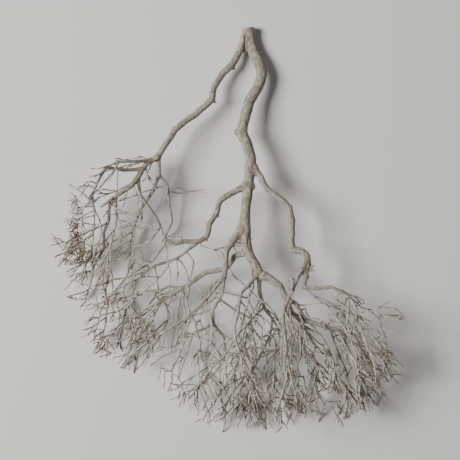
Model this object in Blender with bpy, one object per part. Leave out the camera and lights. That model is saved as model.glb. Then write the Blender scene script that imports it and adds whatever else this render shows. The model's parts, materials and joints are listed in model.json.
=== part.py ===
"""A dead, weathered shrub branch as it was cut, lying on a flat surface.

One solid. Metres, +Z up from the surface. +Y runs along the branch towards its cut end, +X to the right
as seen from above. The origin is the middle of the branch's box, on the surface.

Each limb is a route of points in centimetres, measured from just beside the trunk's lowest fork. A point
has a height only where the height is chosen, and the heights between are spread along the limb. A limb
starts on the middle line of the limb it grows from.
"""

import bpy
import numpy as np

CM = 0.01
MIDDLE = (-0.09, 0.205, 0.0)  # the routes' point (cm) that becomes the origin: the middle of the branch's box
SHARPEST_START = 0.35  # a limb starts at least this far (cm) before its parent's tip
SNAP = 0.2  # a first point this near (cm) to the parent is moved onto it
THICK_LIMB = 0.45  # cm of radius, from which a limb has eight sides
TIP_SHARE = 0.55  # the last ring's radius, as a share of the radius before it
BARK_COLOUR = (0.42, 0.38, 0.34, 1.0)

LIMBS = {}


def limb(name, parent, radii, *route):
    """Adds a limb: radii (cm) spread evenly from base to tip, route points (x, y) or (x, y, height) in cm."""
    points = np.array([point[:2] for point in route], float)
    heights = {i: point[2] for i, point in enumerate(route) if len(point) == 3}
    if parent:
        start, reach = attach(parent, points[0])
        if np.linalg.norm(points[0] - start[:2]) > SNAP:
            points = np.vstack([start[:2], points])
            heights = {i + 1: height for i, height in heights.items()}
        else:
            points[0] = start[:2]
        heights[0] = start[2]
        radii = (min(radii[0], 0.9 * reach),) + tuple(radii[1:])
    along = np.concatenate([[0.0], np.cumsum(np.linalg.norm(np.diff(points, axis=0), axis=1))])
    known = sorted(heights)
    height = np.interp(along, along[known], [heights[i] for i in known])
    radius = np.interp(along / along[-1], np.linspace(0, 1, len(radii)), radii)
    height = np.maximum(height, radius)
    LIMBS[name] = (np.column_stack([points, height]), radius)


def attach(parent, near):
    """The point of the parent's middle line nearest to (x, y), and the parent's radius there."""
    points, radius = LIMBS[parent]
    start, step = points[:-1], np.diff(points, axis=0)
    span = np.linalg.norm(step[:, :2], axis=1)
    share = ((near - start[:, :2]) * step[:, :2]).sum(axis=1) / span**2
    last = np.ones(len(step))
    last[-1] = max(0.2, 1 - SHARPEST_START / span[-1])
    share = np.clip(share, 0, last)
    spots = start + share[:, None] * step
    best = int(np.argmin(np.linalg.norm(spots[:, :2] - near, axis=1)))
    reach = radius[best] + share[best] * (radius[best + 1] - radius[best])
    return spots[best], reach


def trunk_and_arms():
    limb("trunk", None, (1.20, 1.12, 1.12, 1.09, 1.10, 1.12, 1.10, 1.02, 0.98, 1.22, 0.98, 0.86),
         (4.1, 40.8, 1.1), (4.4, 39), (5.25, 36, 1.5), (6.3, 34.1), (6.95, 31.9, 2.4), (6.4, 30), (5.3, 28, 3.2),
         (4.25, 26), (3.1, 22, 4.4), (2.8, 20.5), (3.0, 19, 5.0), (4.0, 17), (4.7, 14.6, 5.6), (4.2, 12),
         (4.1, 8.8, 6.6), (3.55, 5, 7.2), (3.35, 2), (3.35, -1, 7.9), (3.85, -3), (4.1, -4.2, 8.2),
         (5.15, -6), (6.4, -8.3, 8.6))
    limb("left_arm", "trunk", (0.76, 0.72, 0.70, 0.68, 0.64, 0.62),
         (3.6, 39.3), (2.6, 37, 1.6), (0.8, 33.6), (-0.9, 32.1, 2.6), (-2.9, 29.1), (-3.2, 26.7, 3.6),
         (-4.6, 25.3), (-6.7, 23.4, 4.4), (-8.6, 22.2), (-10.4, 20.6, 5.2), (-12.9, 16.8), (-13.9, 15.2, 6.0))
    limb("middle_arm", "trunk", (0.66, 0.62, 0.60, 0.58, 0.52, 0.42, 0.30),
         (3.8, 9.3), (1.5, 8.2, 6.9), (-1.6, 6.3), (-2.1, 4.2, 7.6), (-3.7, 1.6), (-4.1, -0.8, 8.4), (-5.7, -1.9),
         (-8.9, -1.8, 9.2), (-10.6, -2.4), (-12.7, -1.2, 10.2))
    limb("right_arm", "trunk", (0.62, 0.62, 0.66, 0.68, 0.68),
         (5.0, 13.2), (6.5, 11, 6.4), (7.7, 8.5), (10.2, 6.8, 7.6), (12.1, 4.9), (12.7, 2.4, 8.4), (12.5, -2),
         (12.9, -3.6, 9.0), (14.3, -3.6), (15.5, -4.4, 9.4), (15.8, -6.0, 9.6))
    limb("lower_fork", "trunk", (0.74, 0.70, 0.58, 0.48),
         (2.6, 0.5), (1.1, -1.6, 8.6), (-0.4, -3.6), (-0.4, -6.8, 9.6), (-0.7, -8.8, 9.8))
    limb("back_fork", "trunk", (0.56, 0.54, 0.50, 0.40),
         (3.4, -4.1), (1.2, -4.8, 7.4), (0.3, -6.6), (-1.4, -7.5, 6.0), (-4.6, -8.1), (-6.6, -9.6, 5.2),
         (-9.2, -11.3, 4.8))
    limb("end_right", "trunk", (0.80, 0.76, 0.70, 0.62),
         (6.4, -8.3), (8.3, -9.2, 9.0), (10.3, -10.7), (11.6, -13.4, 9.8))
    limb("end_down", "trunk", (0.50, 0.45, 0.38, 0.27, 0.20),
         (6.2, -8.5), (6.2, -11.5, 7.6), (6.7, -13.6), (7.4, -15.4, 6.8), (8.9, -17.3), (10.4, -19.8, 5.4))
    limb("end_left", "trunk", (0.44, 0.38, 0.30, 0.24, 0.18),
         (6.0, -8.0), (4.4, -10.1, 9.6), (2.6, -12), (2.2, -14.4, 11.0), (1.9, -16.5), (1.3, -18.5, 11.8),
         (1.4, -21), (2.3, -23.6, 12.6))


def left_crown():
    limb("left_inner", "left_arm", (0.44, 0.39, 0.32, 0.22),
         (-13.9, 15.0), (-13.75, 11.8, 5.4), (-14.9, 8.3), (-17.6, 4.6, 3.6), (-18.9, 1.2), (-19.8, -2.7, 2.0))
    limb("left_inner_fork", "left_inner", (0.28, 0.24, 0.20, 0.16),
         (-13.7, 11.4), (-12.0, 9.4, 4.4), (-11.9, 6.4), (-11.2, 2.2, 2.4), (-12.5, -0.8, 1.4))
    limb("left_main", "left_arm", (0.60, 0.56, 0.54, 0.51, 0.48, 0.40, 0.20),
         (-13.8, 15.2), (-16.3, 13.6, 6.6), (-17.7, 11.2), (-19.2, 9.2, 7.6), (-21.9, 7.3), (-25.3, 4.9, 8.8))
    limb("left_main_back", "left_main", (0.35, 0.31, 0.26, 0.20),
         (-17.9, 10.6), (-17.5, 7.4, 6.6), (-14.6, 3.3), (-13.4, 1.2, 5.4), (-14.9, -0.9), (-16.4, -2.7, 4.4),
         (-19.8, -3.1, 4.0))
    limb("left_top", "left_main", (0.36, 0.32, 0.24, 0.17),
         (-15.2, 14.5), (-18.5, 14, 8.6), (-21.6, 13.9), (-22.4, 12.2, 10.8), (-25.5, 8.3, 13.2))
    limb("left_outer", "left_main", (0.40, 0.36, 0.29, 0.21),
         (-17.0, 12.6), (-20.5, 12.3, 8.0), (-24.2, 12.8), (-25.7, 10, 10.0), (-27.5, 5.9), (-28.3, 4.9, 11.4))
    limb("left_outer_drop", "left_outer", (0.20, 0.18, 0.15),
         (-26.7, 7.2), (-26.4, 4, 9.4), (-26.6, 1), (-26.9, -2, 7.0), (-27.3, -4.8, 5.4))
    limb("left_tip", "left_outer", (0.16, 0.14, 0.10),
         (-27.3, 6.4), (-28.6, 7.7, 12.0), (-31.4, 9.6, 12.8))
    limb("left_reach", "left_outer_drop", (0.15, 0.13, 0.11),
         (-26.6, 1.2), (-28.7, 0.2, 6.8), (-30.3, -1.6), (-32.5, -2.1, 4.6), (-35.6, -1.3, 3.4))
    limb("left_wavy", "left_main", (0.38, 0.36, 0.32, 0.28, 0.24, 0.20, 0.17),
         (-23.4, 6.2), (-23.8, 2.2, 6.4), (-24.9, -0.2), (-24.8, -3.2, 4.2), (-27.0, -6.8), (-27.7, -10.2, 1.8),
         (-28.9, -13.4), (-31.3, -13.6, 0.15))
    limb("left_straight", "left_main", (0.26, 0.23, 0.20, 0.16),
         (-22.2, 7.0), (-22.1, 2.2, 8.6), (-23.5, -3.4), (-25.2, -6.6, 8.2), (-24.8, -10.6), (-24.1, -14.4, 6.4),
         (-24.3, -17.0), (-27.2, -19.0, 4.6))
    limb("left_low", "left_straight", (0.15, 0.14, 0.11),
         (-24.2, -16.4), (-25.0, -20.3, 3.4), (-27.1, -24.7, 0.10))
    limb("left_cross", "left_main_back", (0.20, 0.18, 0.15, 0.12),
         (-19.0, -3.1), (-18.8, -5.8, 3.2), (-20.6, -9.0), (-21.1, -12.1, 1.6), (-19.9, -15.6), (-21.9, -18.8, 0.6),
         (-21.9, -22.6, 0.10))


def middle_crown():
    limb("middle_sweep", "middle_arm", (0.36, 0.31, 0.26, 0.20),
         (-4.6, -1.3), (-7.6, -3.3, 9.4), (-10, -5.1), (-14.7, -6.8, 9.6), (-17.3, -8.6), (-20.7, -10.8, 8.4))
    limb("middle_sweep_low", "middle_sweep", (0.22, 0.20, 0.15),
         (-11.3, -5.6), (-13.1, -8.4, 9.0), (-16.3, -11.4), (-19.6, -13.8, 7.6), (-23.0, -16.4, 6.4))
    limb("middle_hook", "middle_arm", (0.24, 0.19, 0.14),
         (-12.2, -1.5), (-12.8, -2.8, 10.6), (-15.0, -6.0, 11.6), (-17.4, -5.0, 12.6), (-21.8, -5.4, 13.2))
    limb("back_loop", "back_fork", (0.23, 0.20, 0.17, 0.14),
         (-8.9, -11.1), (-12, -10.9, 4.2), (-14.9, -12.6), (-12.4, -14.6, 3.2), (-11.7, -17), (-14.5, -19.8, 2.4),
         (-17.6, -20.6, 1.6), (-19.0, -25.0), (-19.1, -28.6, 0.10))
    limb("back_sweep", "back_fork", (0.25, 0.22, 0.17, 0.12),
         (-8.9, -11.2), (-12.7, -13.6, 5.6), (-16.5, -15.4), (-21.5, -18.9, 6.2), (-25.8, -22.0, 5.4))
    limb("back_down", "back_fork", (0.21, 0.18, 0.13),
         (-7.6, -10.3), (-8.4, -14.5, 4.2), (-6.8, -17.8), (-5.6, -22.0, 2.0), (-5.4, -25.0), (-4.3, -28.3, 0.10))
    limb("fork_sweep", "lower_fork", (0.37, 0.33, 0.27, 0.21, 0.15),
         (-0.7, -8.2), (-3.2, -12, 9.8), (-6.2, -15.1), (-9.0, -17.5, 9.2), (-13, -20), (-17.1, -22.6, 8.0),
         (-20.2, -25.2, 7.0))
    limb("fork_down", "fork_sweep", (0.23, 0.19, 0.16, 0.13),
         (-8.3, -17.0), (-8.3, -20.8, 7.4), (-9.6, -24.2), (-11.3, -27.8, 5.0), (-11.2, -29.6), (-12.1, -32.1, 3.6))
    limb("fork_middle", "lower_fork", (0.36, 0.29, 0.23, 0.18),
         (-0.7, -8.6), (-1.1, -12, 9.4), (-3.0, -15.4), (-2.9, -18.2, 8.4), (-0.9, -20.8), (-0.5, -23.0, 7.0),
         (-0.8, -25.2), (-2.6, -28.0, 5.8), (-6.0, -31.1), (-8.6, -32.0, 4.4), (-10.0, -35.2, 2.6))
    limb("fork_right", "fork_middle", (0.26, 0.23, 0.18, 0.14),
         (-1.4, -13.5), (1.2, -15.3, 8.8), (4.3, -17.1), (4.8, -18.9, 7.6), (4.0, -21.4), (2.4, -24.4, 6.2),
         (1.3, -28.6), (1.4, -31.2, 4.0), (-0.6, -35.4), (-0.6, -39.0, 1.2), (-1.2, -40.5, 0.12))


def lower_crown():
    limb("cross_down", "end_down", (0.22, 0.18, 0.16, 0.13),
         (7.1, -15.0), (4.5, -17.2, 10.0), (1.3, -21.1), (-0.7, -24.2, 12.2), (-3.8, -27.4), (-6.4, -31.0, 12.8))
    limb("middle_rod", "end_left", (0.18, 0.16, 0.13),
         (1.4, -20.6), (2.7, -25, 11.4), (2.7, -27.2), (4.6, -29.0, 10.4), (6.1, -32.8), (7.6, -35, 9.0),
         (8.3, -38.2, 8.0))
    limb("drop", "end_down", (0.22, 0.21, 0.19, 0.16, 0.13),
         (8.9, -17.3), (8.4, -20.6, 5.2), (7.0, -23.6), (5.6, -26.6, 4.0), (3.4, -30.8), (4.3, -33.6, 2.4),
         (6.6, -35.6), (6.7, -38.0, 0.9), (7.6, -40.0, 0.10))
    limb("drop_right", "end_down", (0.22, 0.19, 0.16, 0.13),
         (9.9, -19.0), (10.8, -23.0, 4.6), (9.3, -24.4), (9.0, -28, 3.6), (10.6, -31.0), (11.4, -34.0, 2.2),
         (15.0, -36.7, 0.10))
    limb("upper_rod", "right_arm", (0.48, 0.44, 0.37, 0.25, 0.17),
         (15.6, -5.8), (13.8, -8.7, 11.0), (11.9, -13.0, 12.2), (11.0, -14.8), (10.8, -17, 12.8), (11.2, -20.4),
         (11.5, -23, 13.2), (11.0, -26.0), (11.4, -29.0, 13.6), (10.2, -33.0), (9.9, -37.8, 12.8))
    limb("thick_sweep", "end_right", (0.58, 0.53, 0.46, 0.39, 0.32),
         (11.5, -13.0), (12.6, -16.1, 10.2), (15, -17.4), (19, -18.6, 9.8), (22, -19.6), (24.4, -21.8, 8.2),
         (26.0, -22.6), (26.7, -24.6, 7.0))
    limb("short_cut", "end_right", (0.44, 0.40, 0.34),
         (11.7, -13.2), (13.4, -14.1, 10.8), (14.6, -16.2, 10.4), (16.0, -17.7, 10.0))
    limb("inner_rod", "thick_sweep", (0.29, 0.25, 0.20, 0.15),
         (12.4, -15.8), (15.0, -18.6, 9.8), (18.3, -20.3), (19.7, -22.8, 10.2), (20.9, -25.8), (20.8, -28.0, 9.6),
         (22.2, -31.4), (22.3, -36.2, 8.4))
    limb("inner_drop", "end_right", (0.31, 0.28, 0.23, 0.16),
         (11.6, -13.4), (12.2, -17, 7.4), (12.2, -20.2), (14.4, -21.9, 6.0), (14.8, -24), (13.8, -26.6, 4.4),
         (14.0, -29.6), (14.1, -33.0, 2.0), (15.5, -36.0, 0.6))
    limb("inner_slant", "inner_rod", (0.21, 0.18, 0.14),
         (15.2, -19.0), (17.4, -22.6, 8.2), (16.8, -24.6), (18.2, -27.2, 5.6), (17.6, -30), (18.2, -32.8, 3.0),
         (19.5, -35, 1.6), (18.3, -38.4, 0.10))
    limb("outer_fan", "thick_sweep", (0.22, 0.19, 0.16, 0.13),
         (20.0, -18.9), (21.2, -22, 6.4), (22.4, -25), (23.8, -28.0, 4.2), (24.4, -31.8), (24.4, -34.4, 2.0),
         (23.7, -37.7, 0.10))
    limb("outer_rod", "thick_sweep", (0.24, 0.20, 0.16, 0.13),
         (22.4, -20.0), (23.8, -23.1, 8.4), (25.3, -26.2), (26.0, -29.0, 9.6), (26.0, -32.6), (28.7, -35, 10.0))
    limb("outer_low", "thick_sweep", (0.23, 0.20, 0.17, 0.13),
         (26.5, -24.0), (25.4, -26.3, 4.6), (27.0, -29.0), (28.2, -32.5, 2.4), (30.0, -35.0, 0.10))
    limb("outer_reach", "thick_sweep", (0.22, 0.19, 0.15),
         (26.4, -23.4), (28.0, -24.0, 6.2), (27.6, -25.8), (30.5, -27.9, 5.0), (32.2, -30.1, 4.0))


def right_crown():
    limb("right_rod", "right_arm", (0.54, 0.44, 0.40, 0.36, 0.31),
         (15.8, -5.7), (15.4, -8.6, 10.4), (14.9, -10.9), (18, -11.1, 11.2), (20.3, -10.8), (24.2, -12.9, 11.8))
    limb("right_under", "right_rod", (0.24, 0.20, 0.15),
         (15.0, -10.9), (17.8, -13.5, 10.2), (21.6, -15.4), (22.6, -16.7, 9.4))
    limb("right_fall", "right_rod", (0.26, 0.22, 0.17),
         (23.8, -12.7), (23.7, -16, 11.4), (23.2, -19.8, 10.6), (25.0, -20.2), (27.8, -22.1, 9.6), (30.6, -24.0, 8.8))
    limb("right_tip", "right_rod", (0.25, 0.22, 0.17, 0.13),
         (24.0, -12.9), (25.2, -15.3, 13.0), (27.4, -15.6), (29.0, -15.0, 14.4), (30.2, -15.9), (33.8, -17.0, 15.4))
    limb("right_curve", "right_tip", (0.19, 0.17, 0.14, 0.11),
         (25.2, -15.3), (25.2, -17.2, 12.2), (26.4, -19.0), (29.0, -19.2, 11.8), (31.1, -20.9, 11.4),
         (31.3, -23.4), (34.7, -26.6, 9.8))
    limb("right_low", "right_curve", (0.13, 0.12, 0.10),
         (31.2, -23.0), (31.2, -25.6, 7.4), (32.7, -28.6, 3.6), (35.4, -28.9, 0.10))
    limb("right_rise", "right_tip", (0.12, 0.10, 0.09),
         (29.4, -15.3), (30.2, -18.8, 16.4), (33.2, -19.8, 18.6))


def tube(points, radius):
    """A limb's closed tube as a curve's evaluated mesh: one ring at each route point."""
    curve = bpy.data.curves.new("limb", "CURVE")
    curve.dimensions = "3D"
    curve.twist_mode = "MINIMUM"
    curve.bevel_depth = CM
    curve.bevel_resolution = 2 if radius[0] > THICK_LIMB else 1
    curve.use_fill_caps = True
    spline = curve.splines.new("POLY")
    spline.points.add(len(points) - 1)
    for spot, centre, size in zip(spline.points, points, radius):
        spot.co = (*((centre - MIDDLE) * CM), 1)
        spot.radius = size
    return bpy.data.objects.new("limb", curve)


def joined(trunk, others):
    """One closed solid of the trunk and every other limb, by a Boolean union."""
    union = trunk.modifiers.new("grown_together", "BOOLEAN")
    union.operation = "UNION"
    union.operand_type = "COLLECTION"
    union.collection = others
    union.solver = "EXACT"
    graph = bpy.context.evaluated_depsgraph_get()
    mesh = bpy.data.meshes.new_from_object(trunk.evaluated_get(graph))
    trunk.modifiers.remove(union)
    return mesh


def bark():
    material = bpy.data.materials.new("weathered_bark")
    material.use_nodes = True
    shader = material.node_tree.nodes["Principled BSDF"]
    shader.inputs["Base Color"].default_value = BARK_COLOUR
    shader.inputs["Roughness"].default_value = 0.85
    return material


def main():
    for old in list(bpy.data.objects):
        bpy.data.objects.remove(old)
    trunk_and_arms()
    left_crown()
    middle_crown()
    lower_crown()
    right_crown()

    scene = bpy.context.scene.collection
    others = bpy.data.collections.new("limbs")
    scene.children.link(others)
    for name, (points, radius) in LIMBS.items():
        if name != "trunk":
            radius[-1] *= TIP_SHARE
        source = tube(points, radius)
        scene.objects.link(source)
        graph = bpy.context.evaluated_depsgraph_get()
        mesh = bpy.data.meshes.new_from_object(source.evaluated_get(graph))
        bpy.data.objects.remove(source)
        home = scene if name == "trunk" else others
        home.objects.link(bpy.data.objects.new(name, mesh))

    trunk = bpy.data.objects["trunk"]
    mesh = joined(trunk, others)
    for helper in list(bpy.data.objects):
        bpy.data.objects.remove(helper)
    bpy.data.collections.remove(others)
    mesh.materials.clear()
    mesh.materials.append(bark())
    branch = bpy.data.objects.new("branch", mesh)
    scene.objects.link(branch)
    corners = np.empty(len(mesh.vertices) * 3)
    mesh.vertices.foreach_get("co", corners)
    corners = corners.reshape(-1, 3)
    print("box", corners.min(axis=0).round(5), corners.max(axis=0).round(5), len(mesh.polygons), "faces")


main()
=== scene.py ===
# %% [markdown]
# # A dead branch, laid on a table
#
# The real thing is one piece of wood: the top of a small shrub, sawn off, dead for years and bleached by
# the weather. A stout trunk and a thin second arm leave the same butt, and both end in a wide, shallow fan
# of well over a thousand zigzag twigs. Hardly anything on it is straight for long.
#
# It could be sculpted by hand or grown whole by a tree generator. A sculpture would take days, and a
# generator never gives this one branch. So every limb that the eye can follow has a route listed one by one,
# and only the finest twigs, which nobody counts, are grown by a rule with a fixed seed.

# %% Load the frame
import json

import bpy
import numpy as np
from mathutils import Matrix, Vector

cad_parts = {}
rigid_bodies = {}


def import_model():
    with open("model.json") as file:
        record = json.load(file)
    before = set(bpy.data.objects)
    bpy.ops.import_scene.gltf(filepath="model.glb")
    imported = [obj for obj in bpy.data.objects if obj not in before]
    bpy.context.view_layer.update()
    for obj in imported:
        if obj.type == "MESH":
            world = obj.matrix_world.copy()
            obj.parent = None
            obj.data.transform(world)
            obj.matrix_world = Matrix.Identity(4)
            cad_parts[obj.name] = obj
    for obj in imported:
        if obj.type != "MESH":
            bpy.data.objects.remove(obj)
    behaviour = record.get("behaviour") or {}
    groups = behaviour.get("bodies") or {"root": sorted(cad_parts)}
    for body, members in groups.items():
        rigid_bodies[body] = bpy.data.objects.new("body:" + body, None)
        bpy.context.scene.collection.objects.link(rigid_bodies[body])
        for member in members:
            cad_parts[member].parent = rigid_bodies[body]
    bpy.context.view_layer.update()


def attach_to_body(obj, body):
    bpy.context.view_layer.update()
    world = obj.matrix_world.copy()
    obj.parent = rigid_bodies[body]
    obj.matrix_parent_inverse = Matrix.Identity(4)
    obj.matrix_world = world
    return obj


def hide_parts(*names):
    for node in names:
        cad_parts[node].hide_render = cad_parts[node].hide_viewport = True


for old in list(bpy.data.objects):
    bpy.data.objects.remove(old)
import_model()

# %% [markdown]
# ## The camera
#
# The branch lies down, so the camera hangs straight above it. A long lens from four metres keeps the
# twigs that stand up off the table from spreading outwards.

# %% Place the camera
CM = 0.01
CAMERA_HEIGHT = 4.0
CAMERA_OVER = (0.0049, 0.0020)  # m, the point below the lens
VIEW_WIDTH = 0.920  # metres across the picture, at the height of the fan
FAN_HEIGHT = 0.05
SENSOR = 36.0  # mm

lens_data = bpy.data.cameras.new("overhead")
lens_data.sensor_width = SENSOR
lens_data.lens = SENSOR * (CAMERA_HEIGHT - FAN_HEIGHT) / VIEW_WIDTH
camera = bpy.data.objects.new("overhead", lens_data)
camera.location = (*CAMERA_OVER, CAMERA_HEIGHT)
bpy.context.scene.collection.objects.link(camera)
bpy.context.scene.camera = camera
print("lens", round(lens_data.lens, 1), "mm")

# %% [markdown]
# ## How a limb is written down
#
# A limb is a route of points in centimetres, as seen from above, with a height only where the height was
# chosen. Its first point snaps to the middle line of the limb it grows from, because wood always does.
# The radii are spread evenly from its base to its tip. These are the same routes that the CAD solid
# follows, so the two stay close together. Here the corners of a route are rounded and it wanders a little.

# %% The limb helper
MIDDLE = np.array((-0.09, 0.205, 0.0))  # the routes' point (cm) that is the frame's origin
SHARPEST_START = 0.35  # a limb starts at least this far (cm) before its parent's tip
SNAP = 0.2  # a first point this near (cm) to the parent is moved onto it
LIMBS = {}
PARENT_RADIUS = {}  # how thick each limb's parent is where the limb leaves it


def attach(parent, near):
    """The point of the parent's middle line nearest to (x, y), and the parent's radius there: the foot of the
    perpendicular on each run of the route, kept within the run, and the nearest of these feet."""
    points, radius = LIMBS[parent]
    start, step = points[:-1], np.diff(points, axis=0)
    span = np.linalg.norm(step[:, :2], axis=1)
    share = ((near - start[:, :2]) * step[:, :2]).sum(axis=1) / span**2
    last = np.ones(len(step))
    last[-1] = max(0.2, 1 - SHARPEST_START / span[-1])
    share = np.clip(share, 0, last)
    spots = start + share[:, None] * step
    best = int(np.argmin(np.linalg.norm(spots[:, :2] - near, axis=1)))
    return spots[best], radius[best] + share[best] * (radius[best + 1] - radius[best])


def limb(name, parent, radii, *route):
    """Adds a limb. Heights between the chosen ones are spread along the route in proportion to its length."""
    points = np.array([point[:2] for point in route], float)
    heights = {i: point[2] for i, point in enumerate(route) if len(point) == 3}
    if parent:
        start, reach = attach(parent, points[0])
        if np.linalg.norm(points[0] - start[:2]) > SNAP:
            points = np.vstack([start[:2], points])
            heights = {i + 1: height for i, height in heights.items()}
        else:
            points[0] = start[:2]
        heights[0] = start[2]
        radii = (min(radii[0], 0.9 * reach),) + tuple(radii[1:])
        PARENT_RADIUS[name] = reach
    along = np.concatenate([[0.0], np.cumsum(np.linalg.norm(np.diff(points, axis=0), axis=1))])
    known = sorted(heights)
    height = np.interp(along, along[known], [heights[i] for i in known])
    radius = np.interp(along / along[-1], np.linspace(0, 1, len(radii)), radii)
    LIMBS[name] = (np.column_stack([points, np.maximum(height, radius)]), radius)


# %% [markdown]
# ## The trunk and its arms
#
# The trunk is thicker than a thumb and never straight: it swings right, then left, and swells at every old
# knot. Three arms leave it, and three more limbs leave its lower end. They rise slowly from the table,
# because the fan at the far end props the whole branch up.

# %% Lay out the trunk and the arms
limb("trunk", None, (1.20, 1.12, 1.12, 1.09, 1.10, 1.12, 1.10, 1.02, 0.98, 1.22, 0.98, 0.86),
     (4.1, 40.8, 1.1), (4.4, 39), (5.25, 36, 1.5), (6.3, 34.1), (6.95, 31.9, 2.4), (6.4, 30), (5.3, 28, 3.2),
     (4.25, 26), (3.1, 22, 4.4), (2.8, 20.5), (3.0, 19, 5.0), (4.0, 17), (4.7, 14.6, 5.6), (4.2, 12),
     (4.1, 8.8, 6.6), (3.55, 5, 7.2), (3.35, 2), (3.35, -1, 7.9), (3.85, -3), (4.1, -4.2, 8.2),
     (5.15, -6), (6.4, -8.3, 8.6))
limb("left_arm", "trunk", (0.76, 0.72, 0.70, 0.68, 0.64, 0.62),
     (3.6, 39.3), (2.6, 37, 1.6), (0.8, 33.6), (-0.9, 32.1, 2.6), (-2.9, 29.1), (-3.2, 26.7, 3.6),
     (-4.6, 25.3), (-6.7, 23.4, 4.4), (-8.6, 22.2), (-10.4, 20.6, 5.2), (-12.9, 16.8), (-13.9, 15.2, 6.0))
limb("middle_arm", "trunk", (0.66, 0.62, 0.60, 0.58, 0.52, 0.42, 0.30),
     (3.8, 9.3), (1.5, 8.2, 6.9), (-1.6, 6.3), (-2.1, 4.2, 7.6), (-3.7, 1.6), (-4.1, -0.8, 8.4), (-5.7, -1.9),
     (-8.9, -1.8, 9.2), (-10.6, -2.4), (-12.7, -1.2, 10.2))
limb("right_arm", "trunk", (0.62, 0.62, 0.66, 0.68, 0.68),
     (5.0, 13.2), (6.5, 11, 6.4), (7.7, 8.5), (10.2, 6.8, 7.6), (12.1, 4.9), (12.7, 2.4, 8.4), (12.5, -2),
     (12.9, -3.6, 9.0), (14.3, -3.6), (15.5, -4.4, 9.4), (15.8, -6.0, 9.6))
limb("lower_fork", "trunk", (0.74, 0.70, 0.58, 0.48),
     (2.6, 0.5), (1.1, -1.6, 8.6), (-0.4, -3.6), (-0.4, -6.8, 9.6), (-0.7, -8.8, 9.8))
limb("back_fork", "trunk", (0.56, 0.54, 0.50, 0.40),
     (3.4, -4.1), (1.2, -4.8, 7.4), (0.3, -6.6), (-1.4, -7.5, 6.0), (-4.6, -8.1), (-6.6, -9.6, 5.2),
     (-9.2, -11.3, 4.8))
limb("end_right", "trunk", (0.80, 0.76, 0.70, 0.62),
     (6.4, -8.3), (8.3, -9.2, 9.0), (10.3, -10.7), (11.6, -13.4, 9.8))
limb("end_down", "trunk", (0.50, 0.45, 0.38, 0.27, 0.20),
     (6.2, -8.5), (6.2, -11.5, 7.6), (6.7, -13.6), (7.4, -15.4, 6.8), (8.9, -17.3), (10.4, -19.8, 5.4))
limb("end_left", "trunk", (0.44, 0.38, 0.30, 0.24, 0.18),
     (6.0, -8.0), (4.4, -10.1, 9.6), (2.6, -12), (2.2, -14.4, 11.0), (1.9, -16.5), (1.3, -18.5, 11.8),
     (1.4, -21), (2.3, -23.6, 12.6))
print(len(LIMBS), "limbs; the trunk ends", round(LIMBS["trunk"][0][-1, 2], 1), "cm up")

# %% [markdown]
# ## The left crown
#
# The left arm breaks up into a loose, open fan with long thin rods, and it lies lower than the rest: its
# outermost twigs come down and touch the table.

# %% Lay out the left crown
limb("left_inner", "left_arm", (0.44, 0.39, 0.32, 0.22),
     (-13.9, 15.0), (-13.75, 11.8, 5.4), (-14.9, 8.3), (-17.6, 4.6, 3.6), (-18.9, 1.2), (-19.8, -2.7, 2.0))
limb("left_inner_fork", "left_inner", (0.28, 0.24, 0.20, 0.16),
     (-13.7, 11.4), (-12.0, 9.4, 4.4), (-11.9, 6.4), (-11.2, 2.2, 2.4), (-12.5, -0.8, 1.4))
limb("left_main", "left_arm", (0.60, 0.56, 0.54, 0.51, 0.48, 0.40, 0.20),
     (-13.8, 15.2), (-16.3, 13.6, 6.6), (-17.7, 11.2), (-19.2, 9.2, 7.6), (-21.9, 7.3), (-25.3, 4.9, 8.8))
limb("left_main_back", "left_main", (0.35, 0.31, 0.26, 0.20),
     (-17.9, 10.6), (-17.5, 7.4, 6.6), (-14.6, 3.3), (-13.4, 1.2, 5.4), (-14.9, -0.9), (-16.4, -2.7, 4.4),
     (-19.8, -3.1, 4.0))
limb("left_top", "left_main", (0.36, 0.32, 0.24, 0.17),
     (-15.2, 14.5), (-18.5, 14, 8.6), (-21.6, 13.9), (-22.4, 12.2, 10.8), (-25.5, 8.3, 13.2))
limb("left_outer", "left_main", (0.40, 0.36, 0.29, 0.21),
     (-17.0, 12.6), (-20.5, 12.3, 8.0), (-24.2, 12.8), (-25.7, 10, 10.0), (-27.5, 5.9), (-28.3, 4.9, 11.4))
limb("left_outer_drop", "left_outer", (0.20, 0.18, 0.15),
     (-26.7, 7.2), (-26.4, 4, 9.4), (-26.6, 1), (-26.9, -2, 7.0), (-27.3, -4.8, 5.4))
limb("left_tip", "left_outer", (0.16, 0.14, 0.10),
     (-27.3, 6.4), (-28.6, 7.7, 12.0), (-31.4, 9.6, 12.8))
limb("left_reach", "left_outer_drop", (0.15, 0.13, 0.11),
     (-26.6, 1.2), (-28.7, 0.2, 6.8), (-30.3, -1.6), (-32.5, -2.1, 4.6), (-35.6, -1.3, 3.4))
limb("left_wavy", "left_main", (0.38, 0.36, 0.32, 0.28, 0.24, 0.20, 0.17),
     (-23.4, 6.2), (-23.8, 2.2, 6.4), (-24.9, -0.2), (-24.8, -3.2, 4.2), (-27.0, -6.8), (-27.7, -10.2, 1.8),
     (-28.9, -13.4), (-31.3, -13.6, 0.15))
limb("left_straight", "left_main", (0.26, 0.23, 0.20, 0.16),
     (-22.2, 7.0), (-22.1, 2.2, 8.6), (-23.5, -3.4), (-25.2, -6.6, 8.2), (-24.8, -10.6), (-24.1, -14.4, 6.4),
     (-24.3, -17.0), (-27.2, -19.0, 4.6))
limb("left_low", "left_straight", (0.15, 0.14, 0.11),
     (-24.2, -16.4), (-25.0, -20.3, 3.4), (-27.1, -24.7, 0.10))
limb("left_cross", "left_main_back", (0.20, 0.18, 0.15, 0.12),
     (-19.0, -3.1), (-18.8, -5.8, 3.2), (-20.6, -9.0), (-21.1, -12.1, 1.6), (-19.9, -15.6),
     (-21.9, -18.8, 0.6),
     (-21.9, -22.6, 0.10))
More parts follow.
